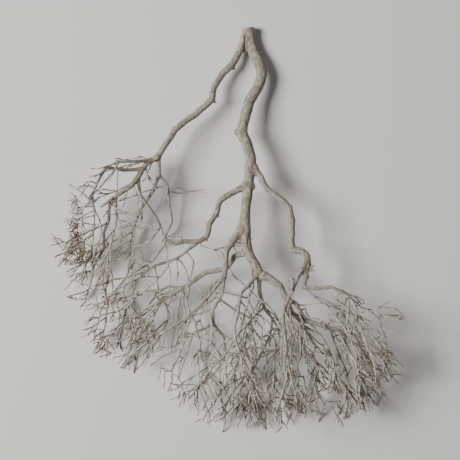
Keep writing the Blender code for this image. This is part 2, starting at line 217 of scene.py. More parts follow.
print(len(LIMBS), "limbs so far")

# %% [markdown]
# ## The middle crown
#
# The middle arm and the two forks of the trunk sweep down to the left in long parallel curves. Two of them
# reach the table, and two stay high and cross over the others.

# %% Lay out the middle crown
limb("middle_sweep", "middle_arm", (0.36, 0.31, 0.26, 0.20),
     (-4.6, -1.3), (-7.6, -3.3, 9.4), (-10, -5.1), (-14.7, -6.8, 9.6), (-17.3, -8.6), (-20.7, -10.8, 8.4))
limb("middle_sweep_low", "middle_sweep", (0.22, 0.20, 0.15),
     (-11.3, -5.6), (-13.1, -8.4, 9.0), (-16.3, -11.4), (-19.6, -13.8, 7.6), (-23.0, -16.4, 6.4))
limb("middle_hook", "middle_arm", (0.24, 0.19, 0.14),
     (-12.2, -1.5), (-12.8, -2.8, 10.6), (-15.0, -6.0, 11.6), (-17.4, -5.0, 12.6), (-21.8, -5.4, 13.2))
limb("back_loop", "back_fork", (0.23, 0.20, 0.17, 0.14),
     (-8.9, -11.1), (-12, -10.9, 4.2), (-14.9, -12.6), (-12.4, -14.6, 3.2), (-11.7, -17), (-14.5, -19.8, 2.4),
     (-17.6, -20.6, 1.6), (-19.0, -25.0), (-19.1, -28.6, 0.10))
limb("back_sweep", "back_fork", (0.25, 0.22, 0.17, 0.12),
     (-8.9, -11.2), (-12.7, -13.6, 5.6), (-16.5, -15.4), (-21.5, -18.9, 6.2), (-25.8, -22.0, 5.4))
limb("back_down", "back_fork", (0.21, 0.18, 0.13),
     (-7.6, -10.3), (-8.4, -14.5, 4.2), (-6.8, -17.8), (-5.6, -22.0, 2.0), (-5.4, -25.0), (-4.3, -28.3, 0.10))
limb("fork_sweep", "lower_fork", (0.37, 0.33, 0.27, 0.21, 0.15),
     (-0.7, -8.2), (-3.2, -12, 9.8), (-6.2, -15.1), (-9.0, -17.5, 9.2), (-13, -20), (-17.1, -22.6, 8.0),
     (-20.2, -25.2, 7.0))
limb("fork_down", "fork_sweep", (0.23, 0.19, 0.16, 0.13),
     (-8.3, -17.0), (-8.3, -20.8, 7.4), (-9.6, -24.2), (-11.3, -27.8, 5.0),
     (-11.2, -29.6), (-12.1, -32.1, 3.6))
limb("fork_middle", "lower_fork", (0.36, 0.29, 0.23, 0.18),
     (-0.7, -8.6), (-1.1, -12, 9.4), (-3.0, -15.4), (-2.9, -18.2, 8.4), (-0.9, -20.8), (-0.5, -23.0, 7.0),
     (-0.8, -25.2), (-2.6, -28.0, 5.8), (-6.0, -31.1), (-8.6, -32.0, 4.4), (-10.0, -35.2, 2.6))
limb("fork_right", "fork_middle", (0.26, 0.23, 0.18, 0.14),
     (-1.4, -13.5), (1.2, -15.3, 8.8), (4.3, -17.1), (4.8, -18.9, 7.6), (4.0, -21.4), (2.4, -24.4, 6.2),
     (1.3, -28.6), (1.4, -31.2, 4.0), (-0.6, -35.4), (-0.6, -39.0, 1.2), (-1.2, -40.5, 0.12))
print(len(LIMBS), "limbs so far")

# %% [markdown]
# ## The lower and the right crown
#
# The densest part. Straight rods hang side by side from one thick limb that runs out to the right, in
# three layers: low ones on the table, a middle layer, and high rods that shade them.

# %% Lay out the lower crown
limb("cross_down", "end_down", (0.22, 0.18, 0.16, 0.13),
     (7.1, -15.0), (4.5, -17.2, 10.0), (1.3, -21.1), (-0.7, -24.2, 12.2), (-3.8, -27.4), (-6.4, -31.0, 12.8))
limb("middle_rod", "end_left", (0.18, 0.16, 0.13),
     (1.4, -20.6), (2.7, -25, 11.4), (2.7, -27.2), (4.6, -29.0, 10.4), (6.1, -32.8), (7.6, -35, 9.0),
     (8.3, -38.2, 8.0))
limb("drop", "end_down", (0.22, 0.21, 0.19, 0.16, 0.13),
     (8.9, -17.3), (8.4, -20.6, 5.2), (7.0, -23.6), (5.6, -26.6, 4.0), (3.4, -30.8), (4.3, -33.6, 2.4),
     (6.6, -35.6), (6.7, -38.0, 0.9), (7.6, -40.0, 0.10))
limb("drop_right", "end_down", (0.22, 0.19, 0.16, 0.13),
     (9.9, -19.0), (10.8, -23.0, 4.6), (9.3, -24.4), (9.0, -28, 3.6), (10.6, -31.0), (11.4, -34.0, 2.2),
     (15.0, -36.7, 0.10))
limb("upper_rod", "right_arm", (0.48, 0.44, 0.37, 0.25, 0.17),
     (15.6, -5.8), (13.8, -8.7, 11.0), (11.9, -13.0, 12.2), (11.0, -14.8), (10.8, -17, 12.8), (11.2, -20.4),
     (11.5, -23, 13.2), (11.0, -26.0), (11.4, -29.0, 13.6), (10.2, -33.0), (9.9, -37.8, 12.8))
limb("thick_sweep", "end_right", (0.58, 0.53, 0.46, 0.39, 0.32),
     (11.5, -13.0), (12.6, -16.1, 10.2), (15, -17.4), (19, -18.6, 9.8), (22, -19.6), (24.4, -21.8, 8.2),
     (26.0, -22.6), (26.7, -24.6, 7.0))
limb("short_cut", "end_right", (0.44, 0.40, 0.34),
     (11.7, -13.2), (13.4, -14.1, 10.8), (14.6, -16.2, 10.4), (16.0, -17.7, 10.0))
limb("inner_rod", "thick_sweep", (0.29, 0.25, 0.20, 0.15),
     (12.4, -15.8), (15.0, -18.6, 9.8), (18.3, -20.3), (19.7, -22.8, 10.2), (20.9, -25.8), (20.8, -28.0, 9.6),
     (22.2, -31.4), (22.3, -36.2, 8.4))
limb("inner_drop", "end_right", (0.31, 0.28, 0.23, 0.16),
     (11.6, -13.4), (12.2, -17, 7.4), (12.2, -20.2), (14.4, -21.9, 6.0), (14.8, -24), (13.8, -26.6, 4.4),
     (14.0, -29.6), (14.1, -33.0, 2.0), (15.5, -36.0, 0.6))
limb("inner_slant", "inner_rod", (0.21, 0.18, 0.14),
     (15.2, -19.0), (17.4, -22.6, 8.2), (16.8, -24.6), (18.2, -27.2, 5.6), (17.6, -30), (18.2, -32.8, 3.0),
     (19.5, -35, 1.6), (18.3, -38.4, 0.10))
limb("outer_fan", "thick_sweep", (0.22, 0.19, 0.16, 0.13),
     (20.0, -18.9), (21.2, -22, 6.4), (22.4, -25), (23.8, -28.0, 4.2), (24.4, -31.8), (24.4, -34.4, 2.0),
     (23.7, -37.7, 0.10))
limb("outer_rod", "thick_sweep", (0.24, 0.20, 0.16, 0.13),
     (22.4, -20.0), (23.8, -23.1, 8.4), (25.3, -26.2), (26.0, -29.0, 9.6), (26.0, -32.6), (28.7, -35, 10.0))
limb("outer_low", "thick_sweep", (0.23, 0.20, 0.17, 0.13),
     (26.5, -24.0), (25.4, -26.3, 4.6), (27.0, -29.0), (28.2, -32.5, 2.4), (30.0, -35.0, 0.10))
limb("outer_reach", "thick_sweep", (0.22, 0.19, 0.15),
     (26.4, -23.4), (28.0, -24.0, 6.2), (27.6, -25.8), (30.5, -27.9, 5.0), (32.2, -30.1, 4.0))
# %% Lay out the right crown
limb("right_rod", "right_arm", (0.54, 0.44, 0.40, 0.36, 0.31),
     (15.8, -5.7), (15.4, -8.6, 10.4), (14.9, -10.9), (18, -11.1, 11.2), (20.3, -10.8), (24.2, -12.9, 11.8))
limb("right_under", "right_rod", (0.24, 0.20, 0.15),
     (15.0, -10.9), (17.8, -13.5, 10.2), (21.6, -15.4), (22.6, -16.7, 9.4))
limb("right_fall", "right_rod", (0.26, 0.22, 0.17),
     (23.8, -12.7), (23.7, -16, 11.4), (23.2, -19.8, 10.6), (25.0, -20.2),
     (27.8, -22.1, 9.6), (30.6, -24.0, 8.8))
limb("right_tip", "right_rod", (0.25, 0.22, 0.17, 0.13),
     (24.0, -12.9), (25.2, -15.3, 13.0), (27.4, -15.6), (29.0, -15.0, 14.4),
     (30.2, -15.9), (33.8, -17.0, 15.4))
limb("right_curve", "right_tip", (0.19, 0.17, 0.14, 0.11),
     (25.2, -15.3), (25.2, -17.2, 12.2), (26.4, -19.0), (29.0, -19.2, 11.8), (31.1, -20.9, 11.4),
     (31.3, -23.4), (34.7, -26.6, 9.8))
limb("right_low", "right_curve", (0.13, 0.12, 0.10),
     (31.2, -23.0), (31.2, -25.6, 7.4), (32.7, -28.6, 3.6), (35.4, -28.9, 0.10))
limb("right_rise", "right_tip", (0.12, 0.10, 0.09),
     (29.4, -15.3), (30.2, -18.8, 16.4), (33.2, -19.8, 18.6))
lengths = {name: np.linalg.norm(np.diff(points, axis=0), axis=1).sum() for name, (points, _) in LIMBS.items()}
print(len(LIMBS), "limbs,", round(sum(lengths.values())), "cm of wood in all")

# %% [markdown]
# ## The side twigs
#
# Each limb carries thin twigs that the eye still picks out one by one. Their routes are chosen from above,
# like the limbs', but their heights are not: each rises or falls at a slope drawn from a seeded random
# source, which gives the crown its depth and gives the same crown every time.

# %% The side-twig helper
rng = np.random.default_rng(1407)
TWIG_RADIUS = 0.135  # cm
TWIG_TAPER = 0.78  # a twig's tip radius as a share of its base radius
TWIG_SLOPE = 0.38  # spread of the rise for each cm along
LOWEST, HIGHEST = 0.12, 18.3  # cm, a twig's radius above the table and below the top of the CAD solid
DRIEST = 0.45  # the most bark, and so brown, that a side twig has kept
TWIGS = []


def arc_length(points):
    """Distance along a route to each of its points: the running sum of the lengths of its steps."""
    return np.concatenate([[0.0], np.cumsum(np.linalg.norm(np.diff(points, axis=0), axis=1))])


def side_twigs(parent, *routes, radius=TWIG_RADIUS):
    """Adds twigs to a limb. A twig's height is its parent's plus a random slope times the length along it."""
    for route in routes:
        flat = np.array(route, float)
        start, reach = attach(parent, flat[0])
        flat = np.vstack([start[:2], flat[int(np.linalg.norm(flat[0] - start[:2]) <= SNAP):]])
        along = arc_length(flat)
        height = start[2] + rng.normal(0, TWIG_SLOPE) * along
        base = min(radius * 1.15, 0.85 * reach)
        size = np.interp(along / along[-1], (0, 1), (base, radius * TWIG_TAPER))
        line = np.column_stack([flat, np.clip(height, radius, HIGHEST)])
        TWIGS.append((line, size, reach, rng.uniform(0, DRIEST)))


# %% Side twigs of the left crown
side_twigs("left_inner", ((-18.5, 1), (-19.3, 0), (-21, -0.9), (-22.5, -1.6), (-23.8, -2.3)))
side_twigs("left_inner_fork", ((-12.3, 9.3), (-14.3, 8.8), (-17.4, 7.9), (-18.4, 7.4), (-21.6, 6.3)),
           ((-11.4, 8.9), (-10.2, 8.9)), ((-11.9, 8.3), (-10.6, 7.9), (-9.9, 7.75), (-7.1, 8.15)),
           ((-12.1, 8.6), (-12.3, 7.3), (-12.5, 6.3)), ((-11.6, 1.4), (-11.7, 1), (-12.3, 0)))
side_twigs("left_main_back", ((-13.2, 0.7), (-12.9, -0.2), (-12.6, -1.1)),
           ((-20, -3.1), (-20.5, -3.8), (-21.5, -4.6)), ((-20.3, -2.4), (-21.3, -3.5), (-22.1, -5)),
           ((-17.8, -3.2), (-17.4, -4.2), (-17, -4.8)))
side_twigs("left_main", ((-19, 9), (-19.9, 8.3), (-20.2, 7.4)), ((-18.6, 9), (-18.2, 8), (-17.9, 7)),
           ((-16.3, 12.6), (-16.2, 11.8), (-15.6, 10.6), (-14.9, 9.3)),
           ((-14.9, 14.5), (-15.4, 13.4), (-16, 12)),
           ((-23.5, 5.5), (-21.8, 4.5), (-20.3, 4), (-18.3, 3.8)))
side_twigs("left_top", ((-22.1, 12.6), (-21.7, 11.8), (-21.7, 10), (-21.75, 8)),
           ((-22.3, 13.7), (-22.8, 13.4)))
side_twigs("left_outer", ((-26.3, 9.7), (-26.9, 10), (-27.8, 9.8), (-28.2, 9.3)),
           ((-27.5, 9.3), (-28.5, 8)), ((-27.8, 5.4), (-29.4, 4.4), (-31, 5.2)),
           ((-28.3, 4.9), (-29.2, 5.7), (-30, 6.9)), ((-28.3, 4.9), (-29, 3.7), (-30.7, 3.7)))
side_twigs("left_outer_drop", ((-26.8, 4.1), (-28, 3.6), (-29.4, 2.8)), ((-26.4, 5.1), (-27.8, 5)),
           ((-26.6, 3.3), (-28, 2.9), (-28.8, 2.4), (-28.8, 1), (-28.6, -0.5), (-28.8, -1.9)),
           ((-26.5, 1.4), (-24.5, 1.4)), ((-26.5, 1.4), (-27.9, 1.7)))
side_twigs("left_reach", ((-33, -1.9), (-33.7, -1.4), (-34.9, -1)),
           ((-32.3, -2.1), (-32.9, -3.7), (-33.7, -2.5)),
           ((-31, -2), (-31.6, -3), (-32.5, -4.7), (-33.7, -6)))
side_twigs("left_wavy", ((-27.9, -11.4), (-29, -12.1), (-30.5, -12.5), (-32.3, -13)),
           ((-27.4, -7.7), (-29, -8), (-30.5, -8.4), (-31.8, -8.9), (-32.3, -9.3)),
           ((-27.5, -8.2), (-30.5, -8.6), (-30.9, -9.7), (-29.4, -10.5)), ((-27.9, -8), (-29.9, -8.7)),
           ((-25.5, -7), (-26.3, -7.6), (-27.5, -8)))
side_twigs("left_straight", ((-23.5, -2.8), (-24, -4.2), (-24.6, -5.6), (-25.2, -6.2)),
           ((-24.6, -6.3), (-24.6, -7.5), (-24.3, -8.8), (-23.8, -9.5)),
           ((-21.9, 2.5), (-20.5, 2.1), (-19.2, 1.6)), ((-25.1, -11.4), (-26.2, -12.7), (-26.1, -14.5)),
           ((-24.6, -14.4), (-25.3, -15.4), (-25.6, -16.8), (-25.9, -18.4)),
           ((-25.9, -15.1), (-26.7, -15.9), (-27, -16.6)))
side_twigs("left_cross", ((-22.2, -12.4), (-23, -13.3), (-24.5, -13.9), (-26.5, -14.8), (-28.3, -15.7)),
           ((-22.3, -13.8), (-22.3, -15.2), (-21.9, -16.4), (-22, -18), (-21.9, -19.5), (-22.3, -20.8)))
side_twigs("left_low", ((-26.2, -19.5), (-27.5, -20), (-28.7, -20.8), (-29.5, -21.1)),
           ((-25.7, -19.5), (-25.7, -21), (-25.8, -22)), ((-24.9, -21.1), (-24, -22.2), (-22.9, -23.5)),
           ((-24.9, -22), (-24.8, -23.6)), ((-23.8, -24.5), (-25.2, -24.9), (-26.1, -25.3)))
print(len(TWIGS), "side twigs")

# %% Side twigs of the middle crown
side_twigs("trunk",
           ((4.9, -7), (4.85, -8.6), (5, -10), (5.1, -11), (4.3, -12.8), (3.7, -13.2),
            (2.2, -12.8), (1, -12.5), (-1, -12.1)), radius=0.18)
side_twigs("middle_arm", ((-12.3, -1.3), (-11.6, -0.8), (-10.6, -0.2)),
           ((-12.5, -1.6), (-12.2, -2.8), (-11.9, -4), (-11.9, -5.2)))
side_twigs("middle_sweep", ((-8.2, -3.9), (-7.3, -4.9), (-6.8, -5.8), (-6.9, -7.2), (-7.5, -9.5)),
           ((-10, -5.3), (-9.3, -5.9), (-8.4, -7.3), (-7.9, -9.1)),
           ((-10.1, -5.8), (-10.1, -7), (-9.9, -7.9)), ((-14.5, -6.9), (-14.1, -8.5), (-13.8, -11)),
           ((-16, -6.5), (-18.6, -8.1), (-19.3, -8.9)), ((-18.2, -9.8), (-18.5, -11.2), (-18.9, -12.4)),
           ((-5.2, -2.8), (-4, -3.1), (-2.7, -3.5)))
side_twigs("middle_sweep_low", ((-11.6, -7), (-11.4, -8), (-11.4, -9.5), (-11.6, -10.5)),
           ((-13.8, -8.9), (-16.5, -8.8)), ((-17, -12.4), (-18, -12.7), (-19, -13)))
side_twigs("lower_fork", ((-0.9, -9), (-1.8, -9.5), (-2.8, -10.2), (-3.7, -11.6), (-4.1, -12.1)),
           radius=0.22)
side_twigs("lower_fork", ((-0.2, -2.9), (-1.5, -3.2), (-2.6, -3.45)))
side_twigs("back_fork", ((0.3, -7.2), (0.9, -8.4), (1.6, -9.2), (2.5, -9.8), (4.3, -11.5), (5.8, -12.9)),
           ((-9.2, -11.6), (-9.8, -14), (-10.2, -16.8), (-9.8, -17.4)), radius=0.15)
side_twigs("back_fork", ((-6.6, -10), (-5.6, -11.6), (-4.7, -13.1)), ((-9.3, -11.4), (-8.7, -12.2)),
           ((-9.1, -13), (-8.8, -15), (-8.2, -17)))
side_twigs("back_sweep", ((-10.2, -13.2), (-11.7, -13.8), (-12.6, -14.2)),
           ((-11.8, -12.95), (-13, -12.9), (-13.7, -13.6)),
           ((-14.5, -14.9), (-17, -16.6), (-20.5, -18.3), (-21.5, -18.9)),
           ((-17.3, -17.2), (-18.5, -18.1), (-20, -19.5)), ((-15.7, -16.5), (-15.8, -17.6), (-15.9, -18.3)),
           ((-18.5, -17), (-18.3, -18.4), (-19.2, -20.8), (-20.3, -23.3)),
           ((-20, -20.2), (-21, -21.3), (-22, -22)))
side_twigs("back_loop", ((-12, -14.7), (-11.4, -15.2), (-11, -16.5)),
           ((-19.2, -22), (-20.1, -24.3), (-21.2, -25.3), (-22.1, -26.6)), ((-19.3, -25.5), (-20.4, -26.9)))
side_twigs("back_down", ((-6.9, -16.7), (-5.6, -16.4), (-4, -15.8)), ((-6.3, -18.6), (-5.6, -17.6)),
           ((-5.6, -17.8), (-5.2, -19)), ((-6.7, -20.1), (-5.3, -19.6), (-4, -19)),
           ((-6.1, -23.8), (-6.1, -25.5), (-5.9, -27), (-5.7, -29.2)),
           ((-5.4, -28.1), (-4.9, -29), (-4.4, -29.6)))
side_twigs("fork_sweep", ((-9.1, -19.3), (-9.8, -21), (-10.2, -22)),
           ((-10.7, -19.4), (-10.9, -21), (-11.2, -22.8)), ((-12.2, -20), (-12.6, -21.2), (-13, -22.7)),
           ((-13.2, -20.3), (-14, -21.6), (-15, -22.6), (-16, -23.5)),
           ((-15, -20.5), (-16.3, -20.6), (-17.5, -20.9)), ((-16, -21.4), (-17.8, -21.9)),
           ((-5, -14.5), (-6.2, -15.6), (-7, -16.6)), ((-17.1, -22.8), (-16.9, -24.3)))
side_twigs("fork_down",
           ((-8.3, -20), (-7, -20.3), (-5.8, -20.8), (-4, -21.4), (-2.8, -22.2), (-1.9, -23.9)),
           ((-8.2, -20.8), (-9.5, -22), (-10.8, -23), (-13.5, -22.9)),
           ((-9.2, -23.2), (-10.5, -23.7), (-13.5, -25.2), (-14.8, -26.3)),
           ((-7.1, -20.8), (-7.5, -22), (-7.6, -23), (-8.3, -24.2), (-9.2, -25.3)),
           ((-8.6, -25.3), (-8.8, -26), (-9.3, -27.3)),
           ((-10.9, -28.5), (-10, -28.9), (-9.2, -30.5), (-9.6, -31.9)),
           ((-9.3, -31.1), (-10.5, -31.4), (-11.5, -31.8)), ((-12.7, -27.8), (-12.6, -30), (-12.9, -31.1)),
           ((-13.4, -27.1), (-13.8, -29.4)))
side_twigs("fork_middle", ((-3.6, -16), (-3.5, -17), (-3.2, -18.6), (-3.1, -20), (-3.5, -23), (-3.7, -24)),
           radius=0.18)
side_twigs("fork_middle", ((-1.3, -12.1), (-2.4, -12), (-2.1, -13), (-1.8, -13.8)),
           ((-2.4, -12.9), (-3.4, -13.8)), ((-3.2, -18.6), (-4, -18.9), (-6, -19.8)),
           ((-3.1, -20.1), (-2.65, -20.9)), ((-0.8, -24.2), (-1.8, -24.3), (-3.8, -24.5), (-3.9, -25.4)),
           ((-3.2, -24.6), (-3.2, -25.5)), ((-1.7, -24.6), (-1.4, -26.5)),
           ((-2, -25.4), (-4, -26.6), (-5.5, -27.8), (-9, -30)),
           ((-8.6, -32.2), (-8.5, -33), (-8.9, -34.2)), ((-7.9, -31.9), (-7.8, -33.2)),
           ((-6.7, -32.2), (-6.7, -34.2)), ((-6.1, -32), (-6.1, -33.9)),
           ((-4.9, -31.2), (-4, -33.2), (-4.8, -35)),
           ((-4, -30.5), (-3.1, -32.7), (-2.8, -34.5), (-3.8, -36.8), (-4.3, -37.6)),
           ((-3.9, -33.3), (-3.3, -34.2)), ((-3.6, -36.4), (-5, -37.1), (-6.5, -37.9)),
           ((-2.5, -30.2), (-2.8, -31), (-2.3, -32.8), (-1, -34.8)), ((-1.3, -30.5), (-1.7, -31.7)),
           ((-0.9, -31.8), (-1.1, -33.5)))
side_twigs("fork_right", ((5, -18.9), (4.95, -20.2), (5.4, -22.2), (5.7, -24.5), (5.5, -25.8)),
           ((4.3, -18), (4.3, -19), (4, -20), (2.5, -21.8)), ((3.3, -23.9), (4.3, -25.4), (5, -27)),
           ((1.9, -24.3), (0.7, -25.7), (-0.2, -26.8), (-1, -27.2), (-3, -28)),
           ((-0.7, -24.2), (0.5, -24), (1.9, -24.2)), ((2.5, -23.8), (3.3, -23.5), (4.2, -23.2)),
           ((2.6, -25.4), (2.2, -26.3), (1.4, -28.4)), ((0.4, -26), (0.9, -26.9), (1.3, -27.8)),
           ((-1, -36), (-2, -36.7), (-3.1, -37.4)), ((-1, -36.5), (-2.5, -37.4), (-4.2, -38.3)),
           ((-0.8, -37.2), (-2.7, -38.3)), ((2.3, -33.7), (1.5, -34.5), (0, -36.1), (-0.6, -36.7)))
print(len(TWIGS), "side twigs so far")

# %% Side twigs of the lower crown
side_twigs("end_left", ((2.6, -13.7), (3.7, -15.2), (4.6, -16.7)),
           ((2.2, -13.8), (1.8, -14.4), (1.5, -14.7)))
side_twigs("end_down", ((6.3, -13.2), (6, -14), (5.7, -14.7)), ((6.6, -14), (6.2, -15.2), (5.8, -16.4)),
           ((7.5, -14.1), (8.2, -14.9), (9.3, -16)),
           ((7.8, -15.5), (9.3, -16.5), (10.1, -17.9), (10.4, -18.6)), ((9.3, -16.9), (9.7, -17.5)))
side_twigs("cross_down", ((6.3, -16.6), (8, -17.8), (8.7, -19), (8.3, -19.7)),
           ((5.5, -17.1), (5.1, -17.7), (6, -18.3), (7.4, -19.6), (8.5, -20.6)),
           ((6.8, -19), (6.75, -20), (7, -23), (6.3, -24.6)))
side_twigs("drop", ((7, -24.1), (8.5, -23.8), (10.3, -23.4), (10.8, -23.1)), radius=0.17)
side_twigs("drop", ((9, -20.9), (9.5, -21.7), (9.6, -22.7), (9.3, -24.5), (9.1, -27), (9, -28)),
           radius=0.16)
side_twigs("drop", ((8.4, -20.6), (7.5, -20.9), (6.1, -21.4), (5.8, -22.5), (4.3, -23.2)),
           ((10, -19.3), (9.3, -19.9), (8.9, -20.4)), ((11, -19.8), (10, -20.2), (9, -20.5)),
           ((5, -27), (4.3, -28.2), (3.8, -29.5)), ((7.6, -24.5), (7.8, -25.3), (7.5, -28)),
           ((5.2, -28.5), (5, -29.7), (5.1, -32.5), (5, -33)), ((5.6, -28.5), (5.6, -30), (5.8, -32.3)),
           ((4.3, -33), (5, -33.7), (6.2, -35.7)), ((4.4, -33.8), (4.8, -36), (5.7, -38.5)),
           ((4.3, -33.5), (4.4, -34.8), (4.2, -36), (3.4, -37.3)), ((3.6, -33), (3.1, -34.5)),
           ((4.4, -33), (3.9, -34.5), (2.9, -36.1), (2.3, -38), (1.75, -39)), ((2.9, -36.1), (2.1, -37.5)),
           ((3, -36), (3.4, -37), (3.7, -37.6)), ((5.4, -34.2), (5.6, -36)), ((5.2, -36.4), (5.6, -36.8)),
           ((6.4, -37.6), (5.9, -38), (6, -39)), ((5.7, -38.3), (4.2, -39.5)),
           ((3.2, -30.9), (2.4, -31.6), (2.1, -32.3)), ((3.7, -31), (3.7, -32.5), (3.1, -34.7)),
           ((2, -32.9), (2.9, -33.6)), ((2.3, -33.4), (2.7, -34.7)))
side_twigs("middle_rod", ((7, -33.4), (8.4, -34.1)), ((7.8, -34.9), (9, -36)), ((8.3, -38), (8.9, -39.1)),
           ((8.2, -37.8), (9, -37.2)), ((6.7, -31), (5.8, -32.1)))
side_twigs("drop_right", ((8.9, -28), (8.2, -28.6), (7.6, -29.7)), ((9.3, -29.7), (8, -30)),
           ((7.1, -29.5), (8.5, -31), (8.9, -31.7), (9.2, -34), (9.9, -37.2), (9.9, -38.1)),
           ((7.1, -31), (7.6, -32), (8.8, -33.6)), ((7.8, -31), (8.6, -33)))
side_twigs("upper_rod", ((13.4, -8.8), (12.9, -9.2)), ((12.3, -9), (12.6, -9.5), (12.5, -11.2)),
           ((12, -15), (11.7, -16.5), (11.7, -17.7)), ((11.2, -13.5), (11.5, -15.8)),
           ((10.9, -27.4), (11.9, -28)), ((10.7, -27.7), (10, -29)), ((11.4, -28), (11.6, -29.3)),
           ((10.1, -35), (10.4, -37.3), (10.5, -38.2), (9.8, -39.2)), ((10.6, -37.1), (11.8, -38.6)),
           ((10.9, -34.5), (11.9, -37.2)))
side_twigs("inner_drop", ((12.7, -24), (13.7, -25.7), (13.9, -26.7)), radius=0.17)
side_twigs("inner_drop", ((12.2, -17.3), (12.2, -19)), ((12.6, -18.3), (14, -19.7), (15, -22), (15.4, -24)),
           ((12.5, -19.4), (14.2, -20.6)), ((12.1, -20.2), (12, -22), (12.3, -23.1)),
           ((11.3, -19.8), (11.5, -21.5), (11.5, -22.7)), ((12.1, -24), (12.8, -26), (12.9, -27)),
           ((13.8, -28.5), (12.7, -30), (11.9, -30.8)), ((14.3, -29.8), (13.3, -31.5)),
           ((14.8, -31), (15, -32), (14.7, -33.5)), ((15.2, -29), (15.6, -31.3)), ((12.1, -33), (12, -34)),
           ((13.4, -35.8), (13, -36.6)), ((14.1, -34.9), (13.6, -35.6)), ((14.1, -33.8), (15, -35.8)))
side_twigs("inner_slant", ((17.5, -22.7), (18.7, -24), (20, -26), (20.4, -26.7)),
           ((17.1, -23.3), (18, -24), (18.7, -24)),
           ((16.9, -24.5), (17.8, -26.2), (18.3, -26.9), (20.5, -27.1)),
           ((15.2, -24), (16.6, -25.5), (18.1, -27.2)), ((15.3, -25.5), (16.6, -27.2), (17, -28)),
           ((16.2, -28.3), (17, -28.7), (18.2, -30.3), (18.8, -30.9)),
           ((17.5, -31), (18, -33.2), (17.6, -34), (18.1, -35.7)), ((17.1, -34), (15.3, -35.5)),
           ((16.1, -35.8), (16.8, -36.5)), ((15.1, -35), (15.8, -37)), ((18.7, -36.5), (17.8, -37)),
           ((18.2, -32.2), (19, -31.5)), ((15.3, -19.5), (15.5, -20.5), (16.8, -22)),
           ((15.2, -21.7), (15.8, -22.7)))
side_twigs("inner_rod", ((20.3, -30.8), (21.3, -30.8), (22.4, -31.8)), radius=0.17)
side_twigs("inner_rod", ((15.3, -19.2), (16.8, -20.9), (18.3, -22.3), (19.2, -22.9), (19.5, -23.6)),
           ((20.5, -27.5), (20.4, -29.5)), ((21.2, -28.5), (21.1, -30), (21.3, -30.5)),
           ((21.6, -34), (22, -35.7)), ((20.1, -33.5), (21.2, -35.7), (22, -37.5), (22.6, -38.3)),
           ((21.8, -36), (20.9, -37.7)))
side_twigs("outer_fan", ((20.7, -19.5), (21.8, -21.4), (23.2, -22.3)),
           ((22.2, -22.8), (22.8, -24), (23.8, -26)), ((22.5, -20.2), (22.7, -21.8)),
           ((24.5, -34), (24.9, -35), (25.4, -36.4)), ((23.9, -32.6), (23.5, -33.8), (23.2, -35)),
           ((23.1, -27.8), (22.3, -29.3), (22.9, -30)), ((23.4, -28.8), (24.2, -30.5), (24.9, -31.3)),
           ((24.1, -32.3), (24.7, -33.7), (25.2, -34.4)))
side_twigs("outer_rod", ((22, -22.3), (23.8, -23.1)), ((23.2, -22.9), (23.8, -25)),
           ((25.9, -33.4), (25.6, -35.6)), ((26.1, -33.7), (26.9, -35.6), (27.2, -36.1)),
           ((26, -28), (27, -28.7), (28.3, -29.3)), ((25.2, -28.5), (25, -29.5), (25.5, -33)))
side_twigs("outer_low", ((26.5, -29.8), (27.1, -31.8), (27.3, -32.9)), ((28, -31), (29.9, -32.3)),
           ((29.1, -32.2), (29.7, -33.4)), ((28.4, -28), (28.7, -29.8), (28.9, -31)),
           ((27.4, -34.5), (27.4, -35.4)), ((25.4, -26.3), (24.7, -27.1)))
side_twigs("outer_reach", ((30, -27.2), (31.9, -28)), ((27.2, -23.5), (29, -24.4), (30.9, -25)),
           ((29, -30.6), (31.2, -31.3)), ((30.1, -29), (30.2, -31.3), (31.3, -33.6)),
           ((26.7, -25.8), (27.5, -25.8)), ((28.2, -26.5), (29.8, -27.4), (30.5, -27.9)))
side_twigs("thick_sweep", ((24.5, -21.9), (26.2, -21.7)), radius=0.17)
side_twigs("thick_sweep", ((24.8, -22.5), (26.4, -24)), ((16.5, -17), (17.5, -17), (18.6, -17.7)),
           ((16.4, -18.3), (17.2, -19)))
side_twigs("short_cut", ((15.2, -15), (15.5, -16), (16, -16.7)))
print(len(TWIGS), "side twigs so far")

# %% Side twigs of the right crown
side_twigs("right_rod", ((19.3, -11.3), (19.9, -12.1), (21, -12.8), (23.5, -12.8)),
           ((21.3, -13.2), (23, -14.4), (22.9, -15.6), (22.2, -15.9)), ((23.1, -13.2), (23, -14.2)),
           ((23.8, -12.6), (24.4, -12.5)))
side_twigs("right_under", ((18.7, -14), (17.3, -14.1), (15, -14.5)), ((18.3, -14), (19.9, -13.9)),
           ((22.6, -16.7), (20.9, -17.7), (20, -18.2)), ((21.8, -15.8), (21.6, -16.3)),
           ((22.8, -16.5), (23, -16.2)))
side_twigs("right_fall", ((24.2, -15.6), (24.8, -17.2), (24.5, -18), (24.3, -19)),
           ((27.3, -22), (28, -23.5)))
side_twigs("right_tip", ((24.6, -13.3), (26.3, -14.9), (27.8, -15.3)), ((30.2, -16.2), (31.3, -16)),
           ((31.3, -16.4), (33.8, -16.4)), ((33.6, -17), (34.4, -16.8)),
           ((29.9, -16), (29.3, -16.3), (29.8, -17.8), (31.1, -20.8)))
side_twigs("right_curve", ((26.9, -19.1), (28.4, -20.6), (29.3, -21.9), (30, -23)), radius=0.15)
side_twigs("right_curve", ((29.2, -21.2), (30.5, -22.9), (31, -23.4)), ((31.3, -23.3), (31.8, -23.3)),
           ((25.8, -17.8), (26.8, -18.8)), ((30.4, -20.9), (31.3, -23.3)))
side_twigs("right_low", ((31.5, -26.2), (32.3, -26.9)), ((32.7, -28.6), (33.8, -30), (34.2, -30.4)),
           ((32.7, -28.6), (32.9, -29.8)))
print(len(TWIGS), "side twigs in all")

